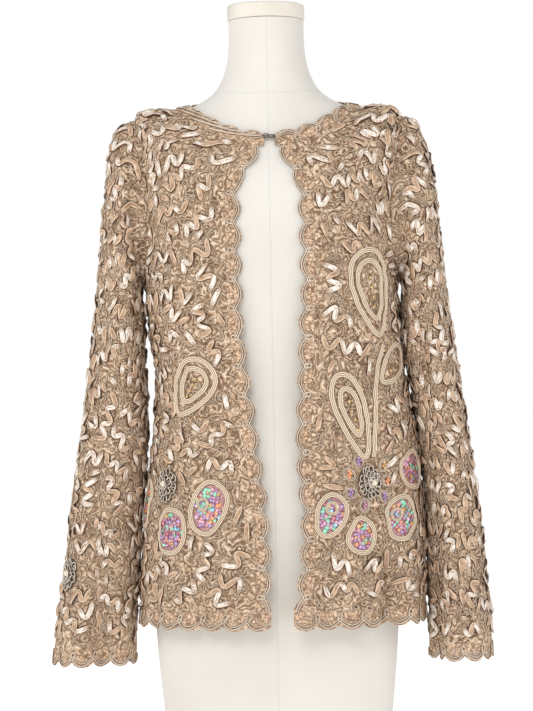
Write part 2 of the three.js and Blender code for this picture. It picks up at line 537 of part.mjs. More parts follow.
// A local place on a front: u to the right and v up, in millimetres, from a motif's middle.
function placeOnFront(motif, u, v, lift = TAPE_LIFT) {
  const grid = motif.across < 0 ? leftFront : rightFront;
  const ring0 = ringAtHeight(60, motif.up);
  const phi0 = phiAtX(motif.across, ring0);
  const ring = ringAtHeight(phi0, motif.up + v);
  const metric = bodyPoint(phi0 + 1, ring).distanceTo(bodyPoint(phi0 - 1, ring)) / 2;
  return onPanel(grid, phi0 + u / metric, ring, lift);
}
const leaned = (motif, u, v) => {
  const c = Math.cos(radians(motif.lean));
  const s = Math.sin(radians(motif.lean));
  return [u * c + v * s, v * c - u * s];
};

// A tape laid along a line of { point, normal }, sewn flat: four sides, and closed into a loop or not.
function tape(line, width, height, loop) {
  const count = line.length;
  const corners = line.map((step, i) => {
    const ahead = line[loop ? (i + 1) % count : Math.min(i + 1, count - 1)].point;
    const behind = line[loop ? (i + count - 1) % count : Math.max(i - 1, 0)].point;
    const across = ahead.clone().sub(behind).cross(step.normal).normalize();
    const low = (u) => step.point.clone().addScaledVector(across, (u * width) / 2);
    const high = (u) => low(u * 0.8).addScaledVector(step.normal, height);
    return [low(-1), high(-1), high(1), low(1)];
  });
  const position = corners.flatMap((four) => four.flatMap((p) => p.toArray()));
  const index = [];
  const spans = loop ? count : count - 1;
  for (let i = 0; i < spans; i++)
    for (let k = 0; k < 4; k++) {
      const [a, b] = [4 * i + k, 4 * i + ((k + 1) % 4)];
      const [c, d] = [4 * ((i + 1) % count) + ((k + 1) % 4), 4 * ((i + 1) % count) + k];
      index.push(a, b, c, a, c, d);
    }
  if (!loop) {
    const end = 4 * (count - 1);
    index.push(0, 2, 1, 0, 3, 2, end, end + 1, end + 2, end, end + 2, end + 3);
  }
  return outwards(position, index);
}
// A leaf's outline: round at the top and pointed at its foot.
function leafLine(motif, share, count) {
  return Array.from({ length: count }, (_, i) => {
    const turn = (2 * Math.PI * (i + 0.5)) / count;
    const v = (motif.length / 2) * Math.cos(turn);
    const u = (motif.width / 2) * Math.sin(turn) * (0.5 + 0.5 * (0.5 + v / motif.length)) * 1.2;
    const drop = (share - 1) * 0.1 * motif.length;
    return placeOnFront(motif, ...leaned(motif, u * share, v * share - drop));
  });
}
const LEAF_STEPS = 14;
for (const leaf of LEAVES) {
  add(leaf.name + "_outer", tape(leafLine(leaf, 1, LEAF_STEPS), LEAF_TAPE.width, LEAF_TAPE.height, true), TAPE);
  if (leaf.inner === 0) continue;
  const line = leafLine(leaf, leaf.inner, LEAF_STEPS - 2);
  add(leaf.name + "_inner", tape(line, LEAF_TAPE.width, LEAF_TAPE.height, true), TAPE);
}
const stemLine = STEM.points.map(({ x, z }) => {
  const ring = ringAtHeight(30, z);
  return onPanel(rightFront, phiAtX(x, ring), ring, TAPE_LIFT);
});
add(STEM.name, tape(stemLine, STEM.width, STEM.height, false), TAPE);

const hookLine = Array.from({ length: HOOK.steps + 1 }, (_, i) => {
  const phi = phiAtX(lerp(HOOK.from, HOOK.to, i / HOOK.steps), HOOK.ring);
  const normal = bodyNormal(phi, HOOK.ring);
  return { point: bodyPoint(phi, HOOK.ring).addScaledVector(normal, HOOK.lift), normal };
});
add("closure_hook", tape(hookLine, HOOK.width, HOOK.height, false), BEAD);

// A low pad: rings of points from its rim to its middle, flat below.
function pad(place, rim, height, inwards) {
  const count = rim.length;
  const position = [];
  const push = (u, v, up) => {
    const { point, normal } = place(u, v);
    position.push(...point.addScaledVector(normal, up).toArray());
  };
  const shares = [{ share: 1, up: 0 }, { share: 1 - inwards, up: height }, { share: 0.5, up: height }];
  for (const { share, up } of shares) for (const [u, v] of rim) push(u * share, v * share, up);
  push(0, 0, height);
  for (const [u, v] of rim) push(u * 0.5, v * 0.5, 0);
  push(0, 0, 0);
  const top = 3 * count;
  const under = top + 1;
  const foot = under + count;
  const index = [];
  for (let i = 0; i < count; i++) {
    const j = (i + 1) % count;
    for (const ring of [0, count]) index.push(ring + i, ring + j, ring + count + j, ring + i, ring + count + j, ring + count + i);
    index.push(2 * count + i, 2 * count + j, top);
    index.push(i, under + j, j, i, under + i, under + j);
    index.push(under + i, foot, under + j);
  }
  return outwards(position, index);
}
const PETAL_STEPS = 12;
for (const petal of PETALS) {
  const rim = Array.from({ length: PETAL_STEPS }, (_, i) => {
    const turn = (2 * Math.PI * i) / PETAL_STEPS;
    const wide = 1 + 0.12 * Math.sin(2 * turn);
    return leaned(petal, (petal.width / 2) * Math.sin(turn) * wide, (petal.length / 2) * Math.cos(turn));
  });
  add(petal.name, pad((u, v) => placeOnFront(petal, u, v, petal.lift), rim, PETAL_HEIGHT, 0.12), SEQUIN);
}
const HEART_STEPS = 10;
const oval = ({ radius, tall }) =>
  Array.from({ length: HEART_STEPS }, (_, i) => {
    const turn = (2 * Math.PI * i) / HEART_STEPS;
    return [radius * Math.sin(turn), radius * tall * Math.cos(turn)];
  });
for (const heart of FLOWER_HEARTS)
  add(heart.name, pad((u, v) => placeOnFront(heart, u, v, heart.lift), oval(heart), HEART_HEIGHT, 0.3), BEAD);

// The beaded flower heart on the left sleeve, over its lower front.
const sleeveRows = leftSleeve.map((row, section) => {
  const entries = row.map((entry, c) => ({ ...entry, phi: (360 * c) / AROUND, ring: section }));
  return [...entries, { ...entries[0], phi: 360 }];
});
function placeOnSleeve(u, v) {
  const { psi, section } = SLEEVE_HEART;
  const around = sleevePoint(-1, psi + 2, section).distanceTo(sleevePoint(-1, psi - 2, section)) / 4;
  const down = sleevePoint(-1, psi, section + 0.5).distanceTo(sleevePoint(-1, psi, section - 0.5));
  return onPanel(sleeveRows, psi + u / around, section - v / down, SLEEVE_HEART.lift);
}
add(SLEEVE_HEART.name, pad(placeOnSleeve, oval(SLEEVE_HEART), HEART_HEIGHT, 0.3), BEAD);

// The dress form: a stuffed, covered torso on a flat board, with a turned cap on its neck.
const FORM_AROUND = 28;
const FORM_RINGS_PER_SPAN = 1.6;
function formTorso() {
  const spans = Math.round((FORM.length - 1) * FORM_RINGS_PER_SPAN);
  const position = [];
  for (let k = 0; k <= spans; k++)
    for (let c = 0; c < FORM_AROUND; c++)
      position.push(...ringPoint(FORM, (360 * c) / FORM_AROUND, ((FORM.length - 1) * k) / spans).toArray());
  const index = [];
  for (let k = 0; k < spans; k++)
    for (let c = 0; c < FORM_AROUND; c++) {
      const d = (c + 1) % FORM_AROUND;
      const [a, b] = [k * FORM_AROUND, (k + 1) * FORM_AROUND];
      index.push(a + c, b + c, b + d, a + c, b + d, a + d);
    }
  const last = spans * FORM_AROUND;
  for (let c = 1; c + 1 < FORM_AROUND; c++) {
    index.push(0, c, c + 1);
    index.push(last, last + c + 1, last + c);
  }
  return outwards(position, index);
}
add("form_torso", formTorso(), COVER);

const NECK_CAP = { radius: 50, height: 20, edge: 3, bottom: 931.4, middle: -6 };
const capProfile = [
  [0, 0], [NECK_CAP.radius - 2, 0], [NECK_CAP.radius, 2], [NECK_CAP.radius, NECK_CAP.height - NECK_CAP.edge],
  [NECK_CAP.radius - NECK_CAP.edge, NECK_CAP.height], [0, NECK_CAP.height + 1],
].map(([x, y]) => new THREE.Vector2(x, y));
const cap = new THREE.LatheGeometry(capProfile, FORM_AROUND);
cap.rotateX(Math.PI / 2);
cap.translate(0, NECK_CAP.middle, NECK_CAP.bottom);
cap.deleteAttribute("normal");
cap.deleteAttribute("uv");
add("form_neck_cap", cap, WOOD);

const BOARD_INSET = 5;
const boardOutline = Array.from({ length: FORM_AROUND }, (_, c) => {
  const p = ringPoint(FORM, (360 * c) / FORM_AROUND, FORM.length - 1, BOARD_INSET);
  return new THREE.Vector2(p.x, p.y);
});
const board = new THREE.ExtrudeGeometry(new THREE.Shape(boardOutline), { depth: BASE_BOARD_HEIGHT, bevelEnabled: false });
add("form_base_board", board, WOOD);

export default cardigan;
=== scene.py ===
import math

import bpy
import numpy as np
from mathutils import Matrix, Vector


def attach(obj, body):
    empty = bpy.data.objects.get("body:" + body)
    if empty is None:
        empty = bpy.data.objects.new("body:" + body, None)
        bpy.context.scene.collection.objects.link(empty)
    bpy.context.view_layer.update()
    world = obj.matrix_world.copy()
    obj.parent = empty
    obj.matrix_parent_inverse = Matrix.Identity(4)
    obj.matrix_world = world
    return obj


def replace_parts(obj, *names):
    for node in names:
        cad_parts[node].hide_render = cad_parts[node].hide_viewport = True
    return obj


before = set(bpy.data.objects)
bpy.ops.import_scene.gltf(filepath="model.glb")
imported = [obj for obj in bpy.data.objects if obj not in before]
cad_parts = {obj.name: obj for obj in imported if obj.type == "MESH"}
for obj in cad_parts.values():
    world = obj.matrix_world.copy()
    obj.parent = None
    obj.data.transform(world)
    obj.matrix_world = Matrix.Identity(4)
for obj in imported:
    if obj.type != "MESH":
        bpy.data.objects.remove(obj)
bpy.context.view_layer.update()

# Camera: a long lens, level, square to the front, and turned a little as the picture is.
# The object stands on the floor at the origin, so the lens looks at it from mid height.
camera_data = bpy.data.cameras.new("camera")
camera_data.lens = 140.2
camera_data.sensor_width = 36
camera = bpy.data.objects.new("camera", camera_data)
camera.location = (-0.0076, -3.6, 0.497)
camera.rotation_euler = (math.radians(90), math.radians(1.1), 0)
bpy.context.collection.objects.link(camera)
bpy.context.scene.camera = camera
bpy.context.scene.view_settings.view_transform = "Standard"


class Value:
    """A shader value. Arithmetic on it adds nodes to its material."""

    def __init__(self, tree, socket):
        self.tree = tree
        self.socket = socket

    def node(self, kind, inputs=None, output=0, **settings):
        """Any node: settings by name, inputs by name or number, and the output that is wanted."""
        made = self.tree.nodes.new(kind)
        for name, value in settings.items():
            setattr(made, name, value)
        for name, value in (inputs or {}).items():
            if isinstance(value, Value):
                self.tree.links.new(value.socket, made.inputs[name])
            else:
                made.inputs[name].default_value = value
        return Value(self.tree, made.outputs[output])

    def math(self, operation, *numbers):
        return self.node("ShaderNodeMath", dict(enumerate(numbers)), operation=operation)

    def __add__(self, other):
        return self.math("ADD", self, other)

    __radd__ = __add__

    def __mul__(self, other):
        return self.math("MULTIPLY", self, other)

    __rmul__ = __mul__

    def __sub__(self, other):
        return self.math("SUBTRACT", self, other)

    def __rsub__(self, other):
        return self.math("SUBTRACT", other, self)

    def sine(self):
        return self.math("SINE", self)

    def size(self):
        """This value without its sign."""
        return self.math("ABSOLUTE", self)

    def axis(self, name):
        """One number of a place: X, Y or Z."""
        return self.node("ShaderNodeSeparateXYZ", {0: self}, name)

    def rise(self, low, high):
        """0 below low, 1 above high, smooth between."""
        inputs = {"Value": self, "From Min": low, "From Max": high}
        return self.node("ShaderNodeMapRange", inputs, interpolation_type="SMOOTHSTEP")

    def mix(self, low, high):
        """A colour between two, by this value."""
        ends = [(*c, 1) if isinstance(c, tuple) else c for c in (low, high)]
        return self.node("ShaderNodeMix", {0: self, 6: ends[0], 7: ends[1]}, 2, data_type="RGBA")

    def warped(self, scale, amount):
        """This place, pushed about by noise."""
        push = self.node("ShaderNodeTexNoise", {"Vector": self, "Scale": scale, "Detail": 1.0}, "Color")
        inputs = {0: push, 1: (amount, amount, amount), 2: self}
        return self.node("ShaderNodeVectorMath", inputs, operation="MULTIPLY_ADD")

    def noise(self, scale, detail=2.0, roughness=0.5):
        """Soft, cloudy patches. A larger scale makes them smaller."""
        inputs = {"Vector": self, "Scale": scale, "Detail": detail, "Roughness": roughness}
        return self.node("ShaderNodeTexNoise", inputs)

    def walls(self, scale):
        """How far a place is from the wall of its cell, in a pattern of uneven cells."""
        inputs = {"Vector": self, "Scale": scale}
        return self.node("ShaderNodeTexVoronoi", inputs, "Distance", feature="DISTANCE_TO_EDGE")


class Finish:
    """A material: a Principled shader whose sockets take numbers, colours or Values."""

    def __init__(self, name):
        self.material = bpy.data.materials.new(name)
        self.material.use_nodes = True
        self.tree = self.material.node_tree
        self.shader = self.tree.nodes["Principled BSDF"]
        coordinates = self.tree.nodes.new("ShaderNodeTexCoord")
        self.place = Value(self.tree, coordinates.outputs["Object"])
        self.cloth = Value(self.tree, coordinates.outputs["UV"])

    def attribute(self, name, output="Fac"):
        """A value that the mesh holds at each point."""
        return self.place.node("ShaderNodeAttribute", {}, output, attribute_name=name)

    def set(self, **sockets):
        """Shader sockets by name, with _ for each space."""
        for name, value in sockets.items():
            socket = self.shader.inputs[name.replace("_", " ")]
            if isinstance(value, Value):
                self.tree.links.new(value.socket, socket)
            else:
                socket.default_value = (*value, 1) if isinstance(value, tuple) else value

    def bump(self, height, distance, strength=1.0):
        inputs = {"Height": height, "Distance": distance, "Strength": strength}
        bumped = self.place.node("ShaderNodeBump", inputs)
        self.tree.links.new(bumped.socket, self.shader.inputs["Normal"])


def piece(name, vertices, faces, finish, uv=None, shades=None, colours=None):
    """A smooth-shaded mesh object from millimetre points, riding on the part."""
    mesh = bpy.data.meshes.new(name)
    corners = faces.tolist() if isinstance(faces, np.ndarray) else faces
    mesh.from_pydata((np.asarray(vertices) / 1000).tolist(), [], corners)
    mesh.shade_smooth()
    if uv is not None:
        loops = np.empty(len(mesh.loops), dtype=np.int32)
        mesh.loops.foreach_get("vertex_index", loops)
        layer = mesh.uv_layers.new(name="cloth")
        layer.data.foreach_set("uv", np.asarray(uv, dtype=np.float32)[loops].ravel())
    if shades is not None:
        layer = mesh.attributes.new("shade", "FLOAT", "POINT")
        layer.data.foreach_set("value", shades.astype(np.float32))
    if colours is not None:
        layer = mesh.attributes.new("tint", "FLOAT_COLOR", "POINT")
        layer.data.foreach_set("color", colours.astype(np.float32).ravel())
    mesh.materials.append(finish.material)
    made = bpy.data.objects.new(name, mesh)
    bpy.context.collection.objects.link(made)
    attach(made, "root")
    return made


def quads(rows, columns, around=False):
    """Faces between rows of points. Around also joins the last column to the first."""
    last = columns if around else columns - 1
    i, j = np.meshgrid(np.arange(rows - 1), np.arange(last), indexing="ij")
    a = (i * columns + j).ravel()
    b = (i * columns + (j + 1) % columns).ravel()
    return np.stack([a, b, b + columns, a + columns], 1)


# Cloth of the body: two fronts and a back of fine net with a dense flower ground, cut to the
# shoulder and side seams and hung on the form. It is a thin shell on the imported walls' form.
# Rings from the neck to the hem: heights at the front, side and back, half widths to the left and
# right, depths to the front and back, and the power of the section's curve, in millimetres.
BODY = {
    "neck tips": (783, 823, 840, 101, 101, 72, 57, 2.0),
    "neck seam": (763, 819, 824, 121, 121, 83, 70, 2.0),
    "shoulder": (728, 806, 775, 172, 172, 98, 88, 2.2),
    "mid armhole": (665, 700, 695, 165, 165, 110, 98, 2.4),
    "armpit": (600, 600, 612, 163, 163, 119, 101, 2.4),
    "under bust": (545, 545, 545, 160, 165, 119, 96, 2.3),
    "waist": (470, 470, 470, 151, 172, 113, 91, 2.25),
    "high hip": (390, 390, 390, 157, 185, 114, 105, 2.2),
    "hip": (300, 300, 300, 169, 192, 119, 122, 2.2),
    "low hip": (230, 230, 230, 174, 193.5, 124, 131, 2.2),
    "hem seam": (175, 175, 175, 177, 193.5, 128, 136, 2.2),
    "hem tips": (151, 151, 151, 179, 194.5, 130, 138, 2.2),
}
NECK_SEAM = 1
SHOULDER = 2
ARMPIT = 4
HEM_SEAM = 10
HEM_TIPS = 11
# Folds of the body: angle at the hem, how far it moves per ring, first ring, depth and width.
BODY_FOLDS = (
    (47, 0.6, 7.7, 22, 8),
    (60, 0.5, 7.4, -7, 11),
    (27, -0.8, 6.0, -6, 12),
    (9, 0.2, 7.2, -9, 8),
    (-30, 1.0, 5.8, 6, 10),
    (-62, 0.4, 6.4, 7, 8),
    (118, 1.0, 6.2, 10, 12),
    (143, 0.4, 5.6, -8, 13),
    (166, -0.4, 6.0, 11, 12),
    (194, 0.5, 5.4, -8, 13),
    (218, 0.2, 6.3, 12, 11),
    (246, -0.6, 6.5, -5, 11),
)
# The front opening's edges, as heights and distances from the middle.
OPENING = {
    -1: (
        (790, 0), (768, -3), (752, -13), (737, -22), (720, -34), (700, -37), (545, -36),
        (485, -31), (425, -23), (362, -16), (310, -9), (240, -6), (150, -9),
    ),
    1: (
        (790, 2), (768, 6), (750, 15), (733, 24), (714, 33), (683, 36), (578, 37), (540, 34),
        (467, 31), (402, 27), (335, 28), (300, 32), (230, 28), (190, 22), (150, 17),
    ),
}
OPENING_ROUNDS = 6
EDGING_WIDTH = 20
ARMHOLE_ANGLE = 22
# Small puckers in the cloth: waves that run all ways. They end short of the cloth's ends.
PUCKER_DEPTH = 0.9
PUCKER_WAVES = 14
PUCKER_LENGTHS = (14, 34)
PUCKER_SHARE = 0.25
PUCKER_MARGIN = 12


def along(table, at):
    """Rows of a table, read between them on a smooth curve."""
    rows = np.array(list(table.values()) if isinstance(table, dict) else table, dtype=float)
    last = len(rows) - 1
    at = np.clip(at, 0, last)
    i = np.minimum(np.floor(at).astype(int), last - 1)
    f = (at - i)[..., None]
    a, b, c, d = (rows[np.clip(i + k, 0, last)] for k in (-1, 0, 1, 2))
    curve = 2 * b + (c - a) * f + (2 * a - 5 * b + 4 * c - d) * f**2 + (3 * b - a - 3 * c + d) * f**3
    return 0.5 * curve


def ring_point(table, phi, ring, inwards=0.0):
    """A point of a ringed body; phi is in degrees from the middle front, to the right."""
    phi, ring = np.broadcast_arrays(np.asarray(phi, float), np.asarray(ring, float))
    s = np.sin(np.radians(phi))
    c = np.cos(np.radians(phi))
    front, side, back, left, right, fore, aft, square = np.moveaxis(along(table, ring), -1, 0)
    x = np.where(s >= 0, right, left) * np.sign(s) * np.abs(s) ** (2 / square)
    y = -np.where(c >= 0, fore, aft) * np.sign(c) * np.abs(c) ** (2 / square)
    z = side * s * s + np.where(c >= 0, front, back) * c * c
    return np.stack([x - inwards * s, y + inwards * c, z], -1)


def within_turn(angle):
    """The same angle, between -180 and 180 degrees."""
    return (angle + 540) % 360 - 180


def hump(u):
    """A smooth rise from 0 at -1 to 1 at 0 and back to 0 at 1."""
    return np.where(np.abs(u) < 1, 0.5 * (1 + np.cos(np.pi * u)), 0)


def ease(t):
    """A smooth rise from 0 to 1."""
    t = np.clip(t, 0, 1)
    return t * t * (3 - 2 * t)


def body_point(phi, ring):
    """A point of the cardigan's body with its folds."""
    phi, ring = np.broadcast_arrays(np.asarray(phi, float), np.asarray(ring, float))
    inwards = 0
    for at, lean, top, depth, width in BODY_FOLDS:
        off = within_turn(phi - at - lean * (HEM_SEAM - ring))
        inwards = inwards + depth * hump(off / width) * ease((ring - top) / (HEM_SEAM - top))
    return ring_point(BODY, phi, ring, inwards)


def angle_at(x, ring):
    """The angle of a ring's point that lies x to the right of the middle."""
    _, _, _, left, right, _, _, square = np.moveaxis(along(BODY, ring), -1, 0)
    half = np.where(np.asarray(x) >= 0, right, left)
    share = np.clip(np.abs(x) / half, 0, 1) ** (square / 2)
    return np.degrees(np.sign(x) * np.arcsin(share))


def opening_phi(side, ring, band):
    """The angle of the front opening's line at a ring, band millimetres in from its tips.

    The line is known by height, which changes with the angle, so it is found in a few rounds."""
    heights, places = np.array(OPENING[side][::-1]).T
    ring = np.asarray(ring, float)
    phi = np.zeros_like(ring)
    for _ in range(OPENING_ROUNDS):
        x = np.interp(ring_point(BODY, phi, ring)[..., 2], heights, places) + side * band
        phi = angle_at(x, ring)
    return phi


def gape(ring):
    """Half the armhole's width, round the body, in degrees."""
    t = np.clip((np.asarray(ring, float) - SHOULDER) / (ARMPIT - SHOULDER), 0, 1)
    return ARMHOLE_ANGLE * np.sqrt(np.maximum(0, 1 - (1 - 2 * t) ** 2))


class Cloth:
    """Cloth as rows of points, with places on it in millimetres across and down.

    A tube's first and last columns are one line. Down counts from the top edge, or so that the
    bottom edge is level."""

    def __init__(self, points, inside, seed=None, around=False, centred=False, from_top=False):
        self.around = around
        self.points = points
        arcs = np.zeros(points.shape[:2])
        arcs[1:] = np.cumsum(np.linalg.norm(np.diff(points, axis=0), axis=2), axis=0)
        self.fall = arcs if from_top else arcs + arcs[-1].mean() - arcs[-1]
        self.down = self.fall.mean(1)
        self.widths = np.linalg.norm(np.diff(points, axis=1), axis=2).sum(1)
        if around:
            self.widths[:] = self.widths.mean()
        self.start = -self.widths / 2 if centred else np.zeros(len(points))
        share = np.linspace(0, 1, points.shape[1])
        self.across = self.edge(self.fall) + share * self.width(self.fall)
        self.inside = inside
        self.face_outwards()
        if seed is not None:
            self.pucker(arcs, np.random.default_rng(seed))
            self.face_outwards()

    def pucker(self, arcs, rng):
        """Moves the points in and out in small waves, but not at the cloth's ends."""
        lift = np.zeros_like(self.fall)
        for _ in range(PUCKER_WAVES):
            angle = rng.uniform(0, np.pi)
            length = rng.uniform(*PUCKER_LENGTHS)
            wave = (self.across * np.cos(angle) + self.fall * np.sin(angle)) / length
            if self.around:
                turns = round(self.widths[0] * np.cos(angle) / length)
                wave = self.across * turns / self.widths[0] + self.fall * np.sin(angle) / length
            lift = lift + np.sin(2 * np.pi * wave + rng.uniform(0, 6)) * PUCKER_SHARE
        edge = np.clip(np.minimum(arcs, arcs[-1] - arcs) / PUCKER_MARGIN, 0, 1)
        self.points = self.points + self.normals * (PUCKER_DEPTH * lift * edge)[..., None]

    def face_outwards(self):
        """Works out the normals, turned away from the inside."""
        p = self.points
        across = np.gradient(p, axis=1)
        if self.around:
            across[:, 0] = across[:, -1] = p[:, 1] - p[:, -2]
        normals = np.cross(across, np.gradient(p, axis=0))
        normals /= np.linalg.norm(normals, axis=2, keepdims=True) + 1e-12
        away = ((p - self.inside) * normals).sum(2)
        self.turned = np.median(away) < 0
        self.normals = -normals if self.turned else normals

    def width(self, y):
        """How wide the cloth is at a place down it."""
        return np.interp(y, self.down, self.widths)

    def edge(self, y):
        """Where the cloth's first edge lies at a place down it."""
        return np.interp(y, self.down, self.start)

    def at(self, row, column, lift=0.0):
        """Points and normals at places counted in rows and columns, moved out by lift."""
        rows, columns = self.points.shape[:2]
        i = np.clip(np.asarray(row).astype(int), 0, rows - 2)
        j = np.clip(np.asarray(column).astype(int), 0, columns - 2)
        f, g = (row - i)[..., None], (column - j)[..., None]

        def mixed(a):
            top = a[i, j] * (1 - g) + a[i, j + 1] * g
            return top * (1 - f) + (a[i + 1, j] * (1 - g) + a[i + 1, j + 1] * g) * f

        normals = mixed(self.normals)
        normals /= np.linalg.norm(normals, axis=-1, keepdims=True)
        return mixed(self.points) + normals * np.asarray(lift)[..., None], normals

    def on(self, x, y, lift=0.0):
        """Points and normals at places in millimetres across and down, moved out by lift."""
        x, y = np.broadcast_arrays(np.asarray(x, float), np.asarray(y, float))
        rows, columns = self.points.shape[:2]
        share = (x - self.edge(y)) / self.width(y)
        share = share % 1 if self.around else np.clip(share, 0, 1)
        column = share * (columns - 1)
        j = np.clip(column.astype(int), 0, columns - 2)
        g = column - j
        falls = self.fall[:, j] * (1 - g) + self.fall[:, j + 1] * g
        i = np.clip((falls < y).sum(0) - 1, 0, rows - 2)
        low = np.take_along_axis(falls, i[None], 0)[0]
        high = np.take_along_axis(falls, i[None] + 1, 0)[0]
        return self.at(i + np.clip((y - low) / (high - low), 0, 1), column, lift)

    def top(self, x, y):
        """How far down the cloth begins, in the column of a place on it."""
        share = (x - self.edge(y)) / self.width(y)
        share = share % 1 if self.around else share
        return np.interp(share, np.linspace(0, 1, self.points.shape[1]), self.fall[0])

    def pin(self, point):
        """The place on the cloth that lies nearest to a point."""
        off = np.linalg.norm(self.points - point, axis=2)
        i, j = np.unravel_index(np.argmin(off), off.shape)
        return self.across[i, j], self.fall[i, j]

    def mesh(self, name, finish, slot):
        """The cloth as a piece, with places on it in decimetres as its UV map."""
        faces = quads(*self.points.shape[:2])
        if not self.turned:
            faces = faces[:, ::-1]
        uv = np.stack([self.across, -self.fall], -1).reshape(-1, 2) / 100
        return piece(name, self.points.reshape(-1, 3), faces, finish, uv)

    def area(self):
        """The cloth's area in square metres."""
        p = self.points
        a = np.cross(p[1:, 1:] - p[:-1, :-1], p[1:, :-1] - p[:-1, 1:])
        return np.linalg.norm(a, axis=2).sum() / 2 / 1e6


def row_rings(yoke, armhole, skirt):
    """Ring numbers down a panel, closer together at both ends of the armhole."""
    turn = np.linspace(0, np.pi, armhole)
    beside = SHOULDER + (ARMPIT - SHOULDER) * (1 - np.cos(turn)) / 2
    above = np.linspace(NECK_SEAM, SHOULDER, yoke, endpoint=False)
    below = np.linspace(ARMPIT, HEM_SEAM, skirt + 1)[1:]
    return np.concatenate([above, beside, below])[:, None]


BODY_ROWS = row_rings(yoke=16, armhole=50, skirt=90)
FRONT_COLUMNS = 76
BACK_COLUMNS = 150


def from_axis(points):
    """Where the inside of an upright form is: the nearest points of its axis."""
    return points * np.array([0.0, 0.0, 1.0])


def body_panel(first, last, columns, seed, centred=False):
    """A panel of the body between two lines, each given as an angle for each ring."""
    share = np.linspace(0, 1, columns)[None, :]
    low, high = first(BODY_ROWS), last(BODY_ROWS)
    points = body_point(low + (high - low) * share, BODY_ROWS)
    return Cloth(points, from_axis(points), seed, centred=centred)


lace = Finish("lace_ground")
drawn = lace.place.warped(60.0, 0.014)
dense = lace.place.noise(56.0, 3.0, 0.62).rise(0.40, 0.50)
flow = drawn.noise(66.0, 1.0)
ripple = (flow * 43.0).sine()
thread = ripple.rise(0.45, 0.95)
shaded_groove = 1 - ripple.rise(-0.95, -0.35)
net = lace.place.walls(440.0)
holes = net.rise(0.1, 0.24) * (1 - dense) * (1 - thread)
speck_shade = lace.place.noise(700.0, 2.0, 0.6).rise(0.52, 0.62)
tone = lace.place.noise(220.0, 4.0, 0.7).rise(0.32, 0.72)
worn = lace.place.noise(9.0, 2.0).rise(0.35, 0.7)
ground = tone.mix((0.53, 0.345, 0.215), (0.90, 0.665, 0.465))
# Painted shade: the net's holes are painted near black, as shadow seen through them; they also let a
# little of what lies behind show.
ground = (holes * 0.9).mix(ground, (0.08, 0.03, 0.012))
# Painted shade: the grooves beside the threads are painted dark brown, as shadow along them.
ground = (shaded_groove * 0.7).mix(ground, (0.12, 0.047, 0.019))
# Painted shade: fine dark specks, as shadow between the threads.
ground = (speck_shade * 0.6).mix(ground, (0.08, 0.03, 0.012))
ground = (worn * 0.25).mix(ground, (0.50, 0.335, 0.21))
lace.set(Base_Color=(thread * 0.65).mix(ground, (1.0, 0.81, 0.61)), Specular_IOR_Level=0.15)
lace.set(Roughness=0.75 - worn * 0.08, Sheen_Weight=0.03, Alpha=1 - holes * 0.3)
lace.bump(thread * 1.1 - shaded_groove * 0.8 - holes * 0.5 + tone * 0.4, 0.0012)

def front_panel(side, seed):
    """A front, from the border of the opening to the side seam."""
    return body_panel(
        lambda ring: opening_phi(side, ring, EDGING_WIDTH),
        lambda ring: side * (90 - gape(ring)),
        FRONT_COLUMNS,
        seed,
    )


fronts = {side: front_panel(side, seed) for side, seed in ((-1, 1), (1, 2))}
back = body_panel(lambda ring: 90 + gape(ring), lambda ring: 270 - gape(ring), BACK_COLUMNS, 3, True)


HALVINGS = 24
FRONT_ANGLE = 60


def ring_at(phi, z):
    """The ring number at a height, found by halving."""
    phi, z = np.broadcast_arrays(np.asarray(phi, float), np.asarray(z, float))
    low, high = np.zeros(z.shape), np.full(z.shape, float(HEM_TIPS))
    for _ in range(HALVINGS):
        middle = (low + high) / 2
        above = ring_point(BODY, phi, middle)[..., 2] > z
        low, high = np.where(above, middle, low), np.where(above, high, middle)
    return (low + high) / 2


def on_front(side, phi, ring, lift):
    """Points and normals on a front at angles and ring numbers, moved out by lift."""
    first = opening_phi(side, ring, EDGING_WIDTH)
    last = side * (90 - gape(ring))
    cloth = fronts[side]
    rows, columns = cloth.points.shape[:2]
    row = np.interp(ring, BODY_ROWS[:, 0], np.arange(rows))
    share = np.clip((phi - first) / (last - first), 0, 1)
    return cloth.at(row, share * (columns - 1), lift)


def laid(x, z, u=0.0, v=0.0, lift=0.0):
    """Points and normals on a front, u to the right and v up from a place seen from the front."""
    middle = angle_at(x, ring_at(FRONT_ANGLE, z))
    ring = ring_at(middle, z + np.asarray(v, float))
    step = np.linalg.norm(body_point(middle + 1, ring) - body_point(middle - 1, ring), axis=-1) / 2
    return on_front(-1 if x < 0 else 1, middle + np.asarray(u) / step, ring, lift)


body_cloths = {"front_left": fronts[-1], "front_right": fronts[1], "back": back}
shells = {}
for node, cloth in body_cloths.items():
    shells[node] = cloth.mesh(node + "_lace", lace, "lace")
    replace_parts(shells[node], node)

